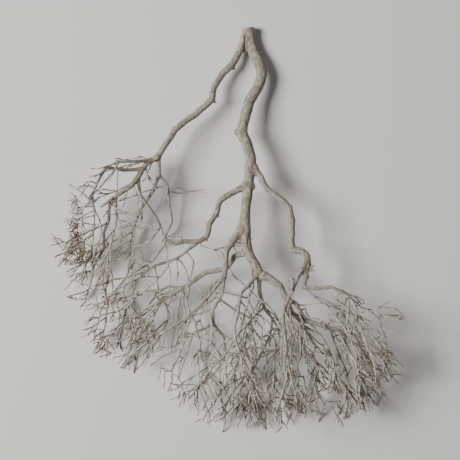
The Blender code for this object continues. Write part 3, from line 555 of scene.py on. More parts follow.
# %% [markdown]
# ## The finest twigs
#
# Nobody counts the last, finest order of twigs, but their habit is what makes the plant: short internodes,
# a kink to alternate sides at each bud, forks in twos and threes, and blunt ends. A space-colonisation
# algorithm could fill the crown too, but it grows smooth rivers. A rule that copies the habit looks right.
#
# The crown stops at a soft edge all round. Seen from the point where the arms spread, that edge is a
# distance for each direction, so one interpolation tells how far out any spot lies.

# %% The crown's edge
SPREAD_FROM = np.array((3.0, 14.0))
EDGE = np.array([
    (-22.5, 15.5), (-28.5, 11.5), (-32, 10.5), (-32.8, 5.5), (-32, 3), (-36, -0.5), (-35.8, -3),
    (-34.3, -6.5),
    (-33.5, -10), (-33.4, -14), (-31, -15), (-29, -17), (-30.2, -21.5), (-28, -25.3), (-26.5, -26),
    (-22.8, -27.5), (-20, -29.5), (-17, -30.2), (-14.3, -30), (-13.5, -31.5), (-12.5, -32.8), (-10.5, -36),
    (-9, -35), (-7, -34.5), (-7, -38.3), (-4.5, -39), (-1.8, -41), (0.3, -39.5), (2, -39.5), (4, -40),
    (7.8, -40.5), (9.5, -39.7), (12.2, -39), (13, -37.5), (15.5, -37.5), (17, -37.4), (18.2, -38.9),
    (19.8, -38), (20.9, -38.2), (23, -38.8), (24.2, -38.2), (25.8, -37), (27.6, -36.6), (29, -35.6),
    (30.4, -35.4), (31.8, -34.2), (32.5, -30.8), (34.5, -31), (36, -29), (34.5, -27.8), (35.2, -26.8),
    (33, -24), (32.2, -23), (31.6, -20.5), (33.8, -19.8), (34.8, -17), (34.2, -15.8)])


def direction_of(spots):
    """Angle in degrees, 0 to 360, of each spot as seen from the point where the arms spread."""
    away = spots[..., :2] - SPREAD_FROM
    return np.degrees(np.arctan2(away[..., 1], away[..., 0])) % 360


edge_order = np.argsort(direction_of(EDGE))
edge_angle = direction_of(EDGE)[edge_order]
edge_reach = np.linalg.norm(EDGE - SPREAD_FROM, axis=1)[edge_order]


def outness(spots):
    """How far out each spot is: its distance from where the arms spread, divided by the edge's that way."""
    reach = np.interp(direction_of(spots), edge_angle, edge_reach, left=0.1, right=0.1)
    return np.linalg.norm(spots[..., :2] - SPREAD_FROM, axis=-1) / reach


print("the crown spans", np.round(edge_angle[[0, -1]]), "degrees")
print("and reaches", round(edge_reach.max(), 1), "cm")

# %% [markdown]
# A twig runs a centimetre or two between buds and bends a little at each, to alternate sides. It leans ever
# more outwards, which is why neighbours end up side by side like the straws of a broom. From its buds it puts
# out twigs of its own at narrow angles, shorter and thinner.

# %% The growth rule
INTERNODE = (0.7, 1.9)  # cm between two buds
KINK = (3, 17)  # degrees at each bud
FORK = (16, 44)  # degrees between a twig and its side twig
OUT_PULL = 0.20  # how strongly each internode leans outwards
FLATNESS = 0.22  # spread of the rise per internode
ORDERS = ({"radius": 0.175, "side": 0.42, "tone": 0.12}, {"radius": 0.145, "side": 0.34, "tone": 0.20},
          {"radius": 0.125, "side": 0.20, "tone": 0.32}, {"radius": 0.112, "side": 0.0, "tone": 0.42})
LONGER_ROD = 1.25  # a long rod's buds lie this much further apart
SHORTEST_RUN, SHORTEST = 0.25, 0.5  # cm: no internode and no twig is shorter
TURNS_BACK = 0.75  # how often the kink changes sides
SIDE_SHARE = (0.45, 1.0)  # a side twig's length, as a share of what is left of its parent
SIDE_LIMITS = (1.1, 5.0)  # cm: what is left counts as at least and at most this
DRY_SIDE, DRIER = -24, 0.18  # left of this (cm) the twigs have kept more bark


def unit(vector):
    """The vector divided by its length."""
    return vector / np.linalg.norm(vector)


def turned(heading, degrees, rise):
    """A heading turned about the vertical by an angle, with a new rise."""
    cos, sin = np.cos(np.radians(degrees)), np.sin(np.radians(degrees))
    flat = unit(heading[:2])
    return unit(np.array((cos * flat[0] - sin * flat[1], sin * flat[0] + cos * flat[1], rise)))


def grow(spot, heading, length, order, reach):
    """Adds one twig on a parent of radius reach, and its side twigs. It stops at the crown's edge."""
    route, side, left = [spot], rng.choice((-1, 1)), length
    while left > SHORTEST_RUN:
        away = np.append(unit(spot[:2] - SPREAD_FROM), 0) * OUT_PULL
        step = min(rng.uniform(*INTERNODE) * (LONGER_ROD if order == 0 else 1.0), left)
        heading = unit(heading + away)
        ahead = spot + step * heading
        ahead[2] = np.clip(ahead[2], LOWEST, HIGHEST)
        if outness(ahead) > 1:
            break
        if len(route) > 1 and rng.random() < ORDERS[order]["side"] and left > 0.8:
            fork = turned(heading, -side * rng.uniform(*FORK), rng.normal(0, FLATNESS))
            grow(spot, fork, rng.uniform(*SIDE_SHARE) * np.clip(left, *SIDE_LIMITS), order + 1,
                 ORDERS[order]["radius"])
        spot, left = ahead, left - step
        route.append(spot)
        heading = turned(heading, side * rng.uniform(*KINK), 0.7 * heading[2] + rng.normal(0, 0.4 * FLATNESS))
        side = -side if rng.random() < TURNS_BACK else side
    along = arc_length(np.array(route))
    if along[-1] > SHORTEST:
        size = min(ORDERS[order]["radius"] * rng.uniform(0.85, 1.15), 0.9 * reach)
        browner = np.interp(outness(route[-1]), (0.7, 0.95), (0.7, 1.2))
        tone = ORDERS[order]["tone"] * rng.uniform(0.2, 1.8) * browner + DRIER * (spot[0] < DRY_SIDE)
        sizes = np.interp(along / along[-1], (0, 1), (size, size * TWIG_TAPER))
        TWIGS.append((np.array(route), sizes, reach, tone))


def host_spots(points, radius, gap):
    """Random spots along a host: for each, its place, the host's heading and radius there, and a side."""
    along, side, spots = arc_length(points), rng.choice((-1, 1)), []
    place = rng.uniform(0.5, gap[1])
    while place < along[-1]:
        spot = np.array([np.interp(place, along, points[:, k]) for k in range(3)])
        run = int(np.searchsorted(along, place)) - 1
        spots.append((spot, points[run + 1] - points[run], np.interp(place, along, radius), side))
        side, place = -side, place + rng.uniform(*gap)
    return spots


# %% Long rods first
ROD_GAP = (2.3, 5.2)  # cm between rods along a limb
ROD_LENGTH = (4.0, 12.0)  # cm
ROD_FORK = (14, 34)  # degrees between a limb and its rod
THINNEST_FOR_ROD = 0.15  # cm of the limb's radius
for points, radius in list(LIMBS.values()):
    for spot, heading, reach, side in host_spots(points, radius, ROD_GAP):
        chance = np.interp(outness(spot), (0.42, 0.55, 0.80, 0.92), (0.0, 0.60, 0.60, 0.0))
        if reach > THINNEST_FOR_ROD and rng.random() < chance:
            ahead = turned(heading, side * rng.uniform(*ROD_FORK), rng.normal(0, FLATNESS))
            grow(spot, ahead, rng.uniform(*ROD_LENGTH), 0, reach)
print(len(TWIGS), "twigs with the rods")

# %% Then fine twigs on everything thin
THICKEST_HOST = 0.30  # cm of radius: thicker wood carries no fine twigs
TWIG_GAP = (2.2, 5.4)  # cm between twigs along their host
CROWDED_FROM, THINNING = 6.0, 0.72  # right of this (cm) the limbs are crowded and carry fewer twigs
TWIG_LENGTH, SPRAY_LENGTH = (1.2, 4.6), (0.8, 3.0)  # cm, along a host and at its tip
SPRAY = (-32, 32)  # degrees either side of the host's tip
SECOND_ORDER_FROM = 0.13  # cm: on a thinner host a twig is of the third order
for points, radius in list(LIMBS.values()) + [twig[:2] for twig in TWIGS]:
    for spot, heading, reach, side in host_spots(points, radius, TWIG_GAP):
        chance = np.interp(outness(spot), (0.50, 0.64, 0.78, 0.9, 1.0), (0.0, 0.25, 0.60, 0.60, 0.40))
        chance = chance * (THINNING if spot[0] > CROWDED_FROM else 1.0)
        if reach < THICKEST_HOST and rng.random() < chance:
            ahead = turned(heading, side * rng.uniform(*FORK), rng.normal(0, FLATNESS))
            grow(spot, ahead, rng.uniform(*TWIG_LENGTH), 1 if reach > SECOND_ORDER_FROM else 2, reach)
    if outness(points[-1]) < 0.95 and radius[-1] < 0.2:
        for turn in rng.uniform(*SPRAY, rng.integers(1, 3)):
            ahead = turned(points[-1] - points[-2], turn, rng.normal(0, FLATNESS))
            grow(points[-1], ahead, rng.uniform(*SPRAY_LENGTH), 2, radius[-1])
print(len(TWIGS), "twigs,", round(sum(arc_length(twig[0])[-1] for twig in TWIGS)), "cm in all")

# %% [markdown]
# ## From routes to wood
#
# A limb is a circle carried along its route. A curve object with a bevel does that too, but it carries only
# one texture coordinate with it. Worked out as arrays, the same sweep also stores, for every point of the
# surface, how far along the grain it lies and where it is across the grain. Bark patterns need both.

# %% Sweep a circle along routes
def tube_faces(rings, sides):
    """Faces of a closed tube whose vertices are its rings in order, then the pole at its base and the one at
    its tip: a quad between each pair of neighbours on two rings, and a fan of triangles round each pole."""
    ring, spoke = np.meshgrid(np.arange(rings - 1), np.arange(sides), indexing="ij")
    after = (spoke + 1) % sides
    quads = np.stack([ring * sides + spoke, ring * sides + after, (ring + 1) * sides + after,
                      (ring + 1) * sides + spoke], axis=-1).reshape(-1, 4)
    edge = np.arange(sides)
    turn, last, pole = (edge + 1) % sides, (rings - 1) * sides, np.full(sides, rings * sides)
    return quads, np.concatenate([np.stack([pole, turn, edge], axis=1),
                                  np.stack([pole + 1, last + edge, last + turn], axis=1)])


def sweep(points, radius, sides):
    """Closed tubes round T routes of R points (arrays T x R x 3 and T x R), all of one number of sides.
    A ring's point at angle a is centre + radius * (cos a * normal + sin a * binormal). Both are square to the
    route, and the binormal is square to the world axis that the route runs least along. A pole closes each
    end. Returns vertices, quads, triangles and each vertex's grain, which is its length along the route,
    cos a * radius and sin a * radius."""
    count, rings = radius.shape
    ahead = np.gradient(points, axis=1)
    ahead /= np.linalg.norm(ahead, axis=2, keepdims=True)
    fixed = np.eye(3)[np.abs(ahead).max(axis=1).argmin(axis=1)][:, None]
    binormal = np.cross(ahead, fixed)
    binormal /= np.linalg.norm(binormal, axis=2, keepdims=True)
    normal = np.cross(binormal, ahead)
    angle = 2 * np.pi * np.arange(sides) / sides
    across = radius[:, :, None, None] * np.stack([np.cos(angle), np.sin(angle)], axis=1)
    skin = points[:, :, None] + across[..., :1] * normal[:, :, None] + across[..., 1:] * binormal[:, :, None]
    poles = points[:, [0, -1]] + ahead[:, [0, -1]] * radius[:, [0, -1], None] * np.array([[-0.4], [0.4]])
    step = np.linalg.norm(np.diff(points, axis=1), axis=2)
    along = np.concatenate([np.zeros((count, 1)), np.cumsum(step, axis=1)], axis=1)
    grain = np.concatenate([np.broadcast_to(along[:, :, None, None], across[..., :1].shape), across], axis=3)
    pole_grain = np.zeros((count, 2, 3))
    pole_grain[:, 1, 0] = along[:, -1]

    quads, triangles = tube_faces(rings, sides)
    shift = (np.arange(count) * (rings * sides + 2))[:, None, None]
    return (np.concatenate([skin.reshape(count, -1, 3), poles], axis=1).reshape(-1, 3),
            (quads + shift).reshape(-1, 4), (triangles + shift).reshape(-1, 3),
            np.concatenate([grain.reshape(count, -1, 3), pole_grain], axis=1).reshape(-1, 3))


# %% The mesh helper
def new_piece(name, vertices, faces, **attributes):
    """A smooth-shaded mesh object of the branch, from points in route centimetres and their attributes."""
    mesh = bpy.data.meshes.new(name)
    lying = np.maximum(vertices, (-np.inf, -np.inf, 0))  # on the table, never in it
    mesh.from_pydata((lying - MIDDLE) * CM, [], faces)
    mesh.shade_smooth()
    for label, values in attributes.items():
        flat = values.ndim == 1
        made = mesh.attributes.new(label, "FLOAT" if flat else "FLOAT_VECTOR", "POINT")
        made.data.foreach_set("value" if flat else "vector", values.astype(np.float32).ravel())
    piece = bpy.data.objects.new(name, mesh)
    bpy.context.scene.collection.objects.link(piece)
    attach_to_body(piece, "root")
    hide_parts("branch")
    return piece


def faces_of(quads, triangles):
    """Quads and triangles as one list of faces."""
    return quads.tolist() + triangles.tolist()


# %% [markdown]
# The routes have sharp corners, and wood has none. So each limb's line is sampled closely, its corners are
# rounded by a running mean about as wide as the limb is thick, and it gets a slow wander and slow swellings.

# %% The lines of the limbs
STEP = 0.15  # cm between two rings of a limb
WANDER = 0.07  # how far a limb strays from its route, as a share of its radius
SWELLING = 0.03  # how much its radius varies, as a share


def smoothed(values, spread):
    """Running mean down the rows with Gaussian weights. Each end is carried on by a half turn to stay put."""
    reach = min(int(3 * spread) + 1, len(values) - 1)
    weights = np.exp(-0.5 * (np.arange(-reach, reach + 1) / spread) ** 2)
    padded = np.concatenate([2 * values[0] - values[reach:0:-1], values,
                             2 * values[-1] - values[-2:-reach - 2:-1]])
    return np.stack([np.convolve(column, weights / weights.sum(), "valid") for column in padded.T], axis=1)


def slow_noise(along, waves=(2.3, 3.7, 6.1, 9.5)):
    """A slow random wave between about -1 and 1: the mean of sines of these lengths (cm) at random phases."""
    phase = rng.uniform(0, 2 * np.pi, (len(waves), 1))
    return np.sin(2 * np.pi * along / np.array(waves)[:, None] + phase).sum(axis=0) / len(waves) * 1.6


def limb_line(points, radius):
    """The limb's middle line and radius every STEP, rounded, wandering and swelling."""
    along = arc_length(points)
    fine = np.linspace(0, along[-1], int(along[-1] / STEP) + 3)
    line = np.column_stack([np.interp(fine, along, points[:, k]) for k in range(3)])
    size = np.interp(fine, along, radius)
    line = smoothed(line, (0.32 * size.mean() + 0.10) / STEP)
    fade = np.clip(fine / 2, 0, 1) * WANDER * size
    line = line + np.column_stack([fade * share * slow_noise(fine) for share in (1, 1, 0.5)])
    size = size * (1 + SWELLING * slow_noise(fine))
    line[:, 2] = np.maximum(line[:, 2], size)
    return line, size


lines = {name: limb_line(*LIMBS[name]) for name in LIMBS}
BUTT = 0.4  # cm that the sawn end lies beyond the trunk's route
line, size = lines["trunk"]
facing = unit(line[0] - line[6])
lines["trunk"] = np.vstack([line[0] + BUTT * facing, line]), np.append(size[0], size) * np.interp(
    np.arange(len(size) + 1), (0, 4, 12), (1.08, 1.06, 1.0))
print(len(lines), "limb lines,", sum(len(size) for _, size in lines.values()), "rings")

# %% [markdown]
# ## Knots, stubs and the web at the butt
#
# Where a side branch died early, a knob is left. The biggest ones shape the outline of the trunk and the
# arms. Each is a short stub from the middle line to just outside the bark. A branch that tore off lower
# down left a long shoulder on the trunk instead. At the butt, a web of wood fills the narrow angle between
# the left arm and the trunk.

# %% Place the knobs
KNOBS = (  # the limb, the tip (x, y) and the radii at base and tip, in cm
    ("trunk", (7.5, 31.3), 0.95, 0.55), ("trunk", (1.4, 19.9), 1.00, 0.60),
    ("trunk", (4.5, -1.2), 0.70, 0.50), ("trunk", (4.6, -2.8), 0.60, 0.40),
    ("trunk", (6.1, -6.4), 0.70, 0.45), ("left_arm", (1.3, 32.7), 0.48, 0.28),
    ("left_arm", (-2.35, 25.8), 0.42, 0.12), ("left_arm", (-6.4, 24.0), 0.46, 0.34),
    ("left_arm", (-11.2, 20.9), 0.44, 0.30), ("right_arm", (13.3, 2.3), 0.46, 0.28),
    ("right_arm", (12.4, -4.0), 0.46, 0.28), ("right_rod", (16.1, -7.3), 0.46, 0.30),
    ("right_rod", (14.9, -8.4), 0.44, 0.30), ("right_rod", (15.9, -9.0), 0.40, 0.22),
    ("lower_fork", (1.9, -2.2), 0.34, 0.22), ("lower_fork", (1.5, -2.9), 0.30, 0.14),
    ("trunk", (2.1, -2.2), 0.40, 0.22), ("right_arm", (8.0, 8.9), 0.44, 0.32),
    ("right_arm", (12.7, 5.2), 0.46, 0.30), ("right_arm", (16.3, -6.5), 0.42, 0.24),
    ("middle_arm", (-1.7, 3.0), 0.40, 0.20), ("middle_arm", (-0.5, 6.4), 0.44, 0.26),
    ("middle_arm", (-4.4, 1.7), 0.40, 0.26), ("middle_arm", (-4.1, -1.8), 0.38, 0.26),
    ("left_main", (-19.5, 9.7), 0.42, 0.28), ("left_main", (-16.2, 14.0), 0.42, 0.28),
    ("left_top", (-22.1, 14.2), 0.28, 0.22), ("end_right", (10.0, -10.1), 0.48, 0.32),
    ("thick_sweep", (13.9, -16.6), 0.42, 0.30), ("thick_sweep", (24.8, -21.4), 0.30, 0.22),
    ("right_rod", (14.6, -11.2), 0.32, 0.22), ("lower_fork", (-0.8, -3.5), 0.38, 0.24))
KNOB_RISE = (-0.2, 0.35)  # a tip's height over the middle line, as a share of the limb's radius
KNOB_RINGS, SHOULDER_RINGS = 6, 6
stubs = []
for parent, tip, wide, narrow in KNOBS:
    start, reach = attach(parent, np.array(tip))
    tip = np.array((*tip, start[2] + rng.uniform(*KNOB_RISE) * reach))
    run = np.linspace(0, 1, KNOB_RINGS)[:, None]
    stubs.append((start + run * (tip - start), np.interp(run[:, 0], (0, 0.6, 1), (wide, 0.8 * wide, narrow))))
web = np.array(((3.85, 39.8, 1.1), (3.6, 38.6, 1.2), (3.45, 37.2, 1.32), (3.4, 36.0, 1.42)))
stubs.append((web, np.array((0.85, 0.62, 0.45, 0.2))))
shoulder = np.linspace((4.15, 11.4), (4.95, 8.5), SHOULDER_RINGS)
above_table = attach("trunk", shoulder[3])[0][2] + 0.1
shoulder = np.column_stack([shoulder, np.full(SHOULDER_RINGS, above_table)])
stubs.append((shoulder, np.array((0.50, 0.58, 0.64, 0.66, 0.64, 0.56))))
print(len(stubs), "knobs, with the web and the shoulder")

# %% [markdown]
# ## One skin over the thick wood
#
# Tubes that merely poke into each other leave a hard line in every fork. Real wood flows round it. All the
# wood thicker than half a centimetre is therefore joined and given one new skin by a voxel remesh, and the
# skin is relaxed until the forks are rounded. Skinning the whole crown so would need millions of faces.

# %% Join and reskin the thick wood
SKIN_FROM = 0.24  # cm of radius
VOXEL = 0.0016  # m
FLARE = 0.45  # how much wider a limb is where it comes out of its parent
FLARE_RUN = 0.9  # how far the flare reaches, in radii
INSIDE_PARENT = 0.95  # the most that a limb may fill of its parent
OVERLAP = 4  # rings that the thin end of a limb shares with its thick part
SHORTEST_SKIN = 12  # rings: a shorter thick part is left to the thin limbs
THICK_SIDES = 14

wood, thin_ends = {}, []
for name, (line, size) in lines.items():
    reach, along = PARENT_RADIUS.get(name, 0), arc_length(line)
    if reach:
        size = size * (1 + FLARE * np.exp(-np.maximum(along - reach, 0) / (FLARE_RUN * size[0])))
        size = np.where(along < reach, np.minimum(size, INSIDE_PARENT * reach), size)
    thick = len(size) if size.min() > SKIN_FROM else int(np.argmax(size < SKIN_FROM))
    if thick > SHORTEST_SKIN:
        wood[name] = (line[:thick], size[:thick])
        thick -= OVERLAP
    else:
        thick = 0
    if thick < len(size) - OVERLAP:
        thin_ends.append((line[thick:], size[thick:]))
corners, corner_faces = [], []
for line, size in list(wood.values()) + stubs:
    vertices, quads, triangles, _ = sweep(line[None], size[None], THICK_SIDES)
    before = sum(map(len, corners))
    corner_faces += faces_of(quads + before, triangles + before)
    corners.append(vertices)
rough = bpy.data.meshes.new("rough")
rough.from_pydata((np.concatenate(corners) - MIDDLE) * CM, [], corner_faces)
reskin = bpy.data.objects.new("rough", rough)
bpy.context.scene.collection.objects.link(reskin)
remesh = reskin.modifiers.new("skin", "REMESH")
remesh.mode = "VOXEL"
remesh.voxel_size = VOXEL
skin = bpy.data.meshes.new_from_object(reskin.evaluated_get(bpy.context.evaluated_depsgraph_get()))
bpy.data.objects.remove(reskin)
print(len(wood), "thick limbs give a skin of", 2 * len(skin.polygons), "triangles")

# %% Relax the skin
def read(data, label, width, kind=np.float32):
    """One property of every item of a Blender collection, as an array."""
    values = np.empty(len(data) * width, kind)
    data.foreach_get(label, values)
    return values.reshape(-1, width)


place = read(skin.vertices, "co", 3).astype(float) / CM + MIDDLE
ends = read(skin.edges, "vertices", 2, np.int32)
neighbours = np.bincount(ends.ravel(), minlength=len(place))[:, None]


def relaxed(values, share):
    """Each vertex moved by a share of the way to the mean of its neighbours."""
    first, second = ends.T
    total = np.stack([np.bincount(first, column[second], len(values)) +
                      np.bincount(second, column[first], len(values)) for column in values.T], axis=1)
    return values + share * (total / neighbours - values)


RELAXING, FORK_FILLING = 7, 5  # passes
for _ in range(RELAXING):  # a pull in, then a slightly larger push out, keeps the wood from thinning
    place = relaxed(relaxed(place, 0.50), -0.52)


def hollows(passes):
    """Outward normals, and how far (cm) each vertex lies below the skin relaxed by this many passes. It is
    above 0 in a fork, and below 0 on a ridge."""
    plump = place
    for _ in range(passes):
        plump = relaxed(plump, 0.5)
    skin.vertices.foreach_set("co", ((place - MIDDLE) * CM).astype(np.float32).ravel())
    skin.update()
    normals = read(skin.vertex_normals, "vector", 3)
    return normals, ((plump - place) * normals).sum(axis=1)


FILL, LEAST_HOLLOW = 0.9, 0.004  # the share of a hollow filled by each pass, and what counts as one (cm)
for _ in range(FORK_FILLING):  # the forks are filled in, as in real wood, and nothing else moves
    outwards, hollow = hollows(16)
    filled = place + outwards * FILL * np.maximum(hollow, 0)[:, None]
    place = relaxed(filled, 0.15 * (hollow > LEAST_HOLLOW)[:, None])
outwards, hollow = hollows(14)
print("hollows up to", round(hollow.max() * 10, 2), "mm, ridges up to", round(-hollow.min() * 10, 2), "mm")

# %% [markdown]
# ## The relief of the bark
#
# Dead wood dries in flutes that run with the grain. To know the grain, each vertex of the skin looks for the
# ring of a limb that it lies nearest to. That ring gives the length along the limb and the two distances
# across it. The line where the bark of two limbs meets is marked as well, and it and the hollows of the
# forks get a brown painted shade.

# %% Find the grain
LIMB_SHIFT = 37  # cm of grain between two limbs, so that their patterns differ
BLOCKS = 60  # the skin is searched in this many parts, to spare memory
centre = np.concatenate([line for line, _ in wood.values()])
girth_at = np.concatenate([size for _, size in wood.values()])
start_at = np.concatenate([arc_length(line) + LIMB_SHIFT * k for k, (line, _) in enumerate(wood.values())])
limb_at = np.repeat(np.arange(len(wood)), [len(line) for line, _ in wood.values()])
ahead = np.concatenate([np.gradient(line, axis=0) for line, _ in wood.values()])
ahead /= np.linalg.norm(ahead, axis=1, keepdims=True)
binormal = np.cross(ahead, (0, 0, 1))
binormal /= np.linalg.norm(binormal, axis=1, keepdims=True)
normal = np.cross(binormal, ahead)
nearest = np.empty(len(place), np.int64)
centre32, girth32 = centre.astype(np.float32), girth_at.astype(np.float32)
for block in np.array_split(np.arange(len(place)), BLOCKS):
    spots = place[block].astype(np.float32)
    square = (spots**2).sum(axis=1)[:, None] + (centre32**2).sum(axis=1) - 2 * spots @ centre32.T
    nearest[block] = (np.sqrt(np.maximum(square, 0)) - girth32).argmin(axis=1)
offset = place - centre[nearest]
grain = np.column_stack([start_at[nearest] + (offset * ahead[nearest]).sum(axis=1),
                         (offset * normal[nearest]).sum(axis=1), (offset * binormal[nearest]).sum(axis=1)])
girth = girth_at[nearest]
# Painted shade: the seams where two limbs meet and the hollows of the forks are marked here, to be darkened.
ridge = np.zeros((len(place), 1))
ridge[ends[limb_at[nearest[ends[:, 0]]] != limb_at[nearest[ends[:, 1]]]]] = 1.0
for _ in range(4):
    ridge = relaxed(ridge, 0.5)
dryness = np.clip(np.maximum(hollow / 0.03, 1.1 * ridge[:, 0]), 0, 0.8)  # a hollow of 0.3 mm gets the full painted shade
print("the grain runs along", len(wood), "limbs;", int((ridge > 0.2).sum()), "vertices lie on a bark ridge")

# %% [markdown]
# The flutes are sines of the angle round the limb that drift as they run along it. The sawn end is made
# here too: whatever stands beyond the cut is pushed back to it, and the rim of the cut is worn round.

# %% Push the flutes in and saw the end off
FLUTE = 0.012  # cm, how deep the flutes of the trunk are
angle, run = np.arctan2(grain[:, 2], grain[:, 1]), grain[:, 0]
flutes = (0.5 * np.sin(6 * angle + 2.4 * np.sin(0.31 * run) + 0.4 * run) +
          0.3 * np.sin(9 * angle - 2 * np.sin(0.23 * run)) +
          0.35 * np.sin(4 * angle + 0.665 * run + 1.5 * np.sin(0.5 * run)) * np.sin(0.9 * run + 2 * angle))
place = place + outwards * (FLUTE * np.clip(girth, 0.15, 1.0) * flutes)[:, None]

SAWN_AT = 0.06  # cm that the cut lies beyond the trunk's first ring
WORN = 0.20  # cm that its rim is worn down
BUTT_REACH = 2.5  # cm from the pith within which the wood is cut
butt, rim = lines["trunk"][0][0], lines["trunk"][1][0]


def cut_height(out):
    """How far beyond the first ring the cut lies at a distance from the pith: flat in the middle, and lower
    by WORN * (out / rim) to the power 5 towards the rim."""
    return SAWN_AT - WORN * np.minimum(out / rim, 1) ** 5


height = (place - butt) @ facing
off_axis = np.linalg.norm(place - butt - height[:, None] * facing, axis=1)
near = np.linalg.norm(place - butt, axis=1) < BUTT_REACH
place = place - (np.maximum(height - cut_height(off_axis), 0) * near)[:, None] * facing
print("flutes", round(flutes.std() * FLUTE * 10, 2), "mm deep;", int(near.sum()), "vertices near the cut")

# %% [markdown]
# ## Scars
#
# A few deep marks are the branch's own: the crack where the left arm tears away from the trunk, and the
# sockets of fallen twigs. Each is a groove along a short line, pressed into the side that faces up. Its
# depth falls off with the distance from the line as a bell curve, and its inside gets a dark painted shade.

# %% Press the scars in
SCARS = (  # (x, y) to (x, y), half width and depth in cm
    ((3.42, 39.5), (3.3, 36.6), 0.16, 0.26), ((3.0, 39.9), (3.35, 39.0), 0.10, 0.12),
    ((4.15, -0.5), (3.9, -2.6), 0.16, 0.14), ((4.6, -1.0), (4.5, -2.6), 0.10, 0.08),
    ((5.6, -6.3), (5.75, -7.2), 0.16, 0.12), ((-2.5, 29.1), (-2.55, 28.8), 0.12, 0.08),
    ((-1.0, 5.9), (-1.3, 5.7), 0.1, 0.06), ((2.6, 20.2), (2.4, 19.7), 0.12, 0.06),
    ((6.7, 31.5), (7.0, 31.0), 0.12, 0.05), ((8.1, 8.2), (8.3, 7.9), 0.1, 0.06),
    ((4.5, 12.2), (4.7, 11.2), 0.10, 0.08), ((15.6, -6.4), (15.5, -8.2), 0.18, 0.08),
    ((4.4, 24.2), (4.1, 23.4), 0.08, 0.03))
for start, stop, half_width, depth in SCARS:
    start, run = np.array(start), np.subtract(stop, start)
    share = np.clip(((place[:, :2] - start) @ run) / (run @ run), 0, 1)
    apart = np.linalg.norm(place[:, :2] - start - share[:, None] * run, axis=1)
    dent = np.exp(-(apart / half_width) ** 2) * np.clip(outwards[:, 2], 0, 1)
    place = place - outwards * (depth * dent)[:, None]
    # Painted shade inside the groove, darker the deeper the scar.
    dryness = np.maximum(dryness, (0.8 + 3 * depth) * dent)
quads = read(skin.loops, "vertex_index", 1, np.int32).reshape(-1, 4)
thick_wood = new_piece("thick_wood", place, quads.tolist(), grain=grain * CM, girth=girth, dryness=dryness)
print("thick wood:", 2 * len(quads), "triangles, with", len(SCARS), "scars")

# %% [markdown]
# ## Thin limbs and twigs
#
# A twig is a tube of few faces, because there are well over a thousand. Its rings sit where the shape
# changes: a collar where it leaves its parent, three rings at each bud so that the bud swells, and three at
# the tip, which ends in a blunt bud instead of a point.

# %% Thin ends of the limbs
def joined(parts):
    """Several sweeps as one: vertices and grain are stacked, and each part's faces count on from the last."""
    shifts = np.concatenate([[0], np.cumsum([len(part[0]) for part in parts])[:-1]])
    return (np.concatenate([part[0] for part in parts]),
            np.concatenate([part[1] + shift for part, shift in zip(parts, shifts)]).tolist() +
            np.concatenate([part[2] + shift for part, shift in zip(parts, shifts)]).tolist(),
            np.concatenate([part[3] for part in parts]))


THIN_SIDES, LAST_RING, THIN_DRIEST = 8, 0.7, 0.25
parts, girth, dryness = [], [], []
for line, size in thin_ends:
    keep = np.unique(np.append(np.arange(0, len(size), 2), len(size) - 1))  # every other ring, and the last
    line, size = line[keep], size[keep].copy()
    size[-1] *= LAST_RING
    part = sweep(line[None], size[None], THIN_SIDES)
    parts.append(part)
    girth.append(np.full(len(part[0]), size.mean()))
    dryness.append(np.full(len(part[0]), rng.uniform(0, THIN_DRIEST)))
vertices, faces, grain = joined(parts)
thin_limbs = new_piece("thin_limbs", vertices, faces, grain=grain * CM, girth=np.concatenate(girth),
                       dryness=np.concatenate(dryness))
print("thin limbs:", len(faces), "faces")

# %% Rings of the twigs
COLLAR, BUD, TIP_BUD = 1.5, 1.25, 1.35  # how much wider than the twig each swelling is
BUD_HALF = 0.13  # cm from a bud's middle to where the twig is plain again


def bud_rings(points, radius, reach):
    """Rings for T twigs of P points (T x P x 3, T x P) on parents of radius reach (T). Each ring is given by
    its run of the route, how far along that run it lies, and how much wider than the twig it is."""
    span = np.linalg.norm(np.diff(points, axis=1), axis=2)
    size = radius[:, :-1]
    reach = np.minimum(reach, 0.5 * span[:, 0])
    near = np.minimum(BUD_HALF, 0.3 * span)
    last = span.shape[1] - 1
    plain_from = np.minimum(reach + 1.3 * size[:, 0], 0.7 * span[:, 0])
    rings = [(0, 0 * reach, 1.1), (0, 0.85 * reach, COLLAR), (0, plain_from, 1.0)]
    for run in range(last):
        rings += [(run, span[:, run] - near[:, run], 1.0), (run + 1, 0 * reach, BUD),
                  (run + 1, near[:, run + 1], 1.0)]
    tip, blunt = span[:, last], np.minimum(radius[:, -1], 0.1 * span[:, last])
    rings += [(last, tip - back * blunt, wide) for back, wide in ((2.4, 1.0), (1.2, TIP_BUD), (0.3, 0.9))]
    share = np.stack([distance / span[:, run] for run, distance, _ in rings], axis=1)
    run = np.array([run for run, _, _ in rings])
    wider = np.array([wider for _, _, wider in rings])
    at = points[:, run] + share[..., None] * (points[:, run + 1] - points[:, run])
    return at, (radius[:, run] + share * (radius[:, run + 1] - radius[:, run])) * wider, wider


# %% Sweep the twigs, those of one number of points together
TWIG_SIDES = 5
parts, girth, dryness = [], [], []
counts = np.array([len(points) for points, *_ in TWIGS])
for count in np.unique(counts):
    group = [TWIGS[k] for k in np.flatnonzero(counts == count)]
    points, radius = (np.stack([twig[k] for twig in group]) for k in (0, 1))
    at, size, wider = bud_rings(points, radius, np.array([twig[2] for twig in group]))
    part = sweep(at, size, TWIG_SIDES)
    part[3][:, 0] += np.repeat(rng.uniform(0, 50, len(group)), part[0].size // 3 // len(group))
    parts.append(part)
    girth.append(np.repeat(radius.mean(axis=1), part[0].size // 3 // len(group)))
    swollen = np.repeat(np.clip((wider - 1) / 0.4, 0, 1), TWIG_SIDES)
    own = np.array([twig[3] for twig in group])[:, None]
    dryness.append(np.clip(own + 0.35 * np.append(swollen, (0, 0.3)), 0, 1).ravel())
vertices, faces, grain = joined(parts)
twigs = new_piece("twigs", vertices, faces, grain=grain * CM, girth=np.concatenate(girth),
                  dryness=np.concatenate(dryness))
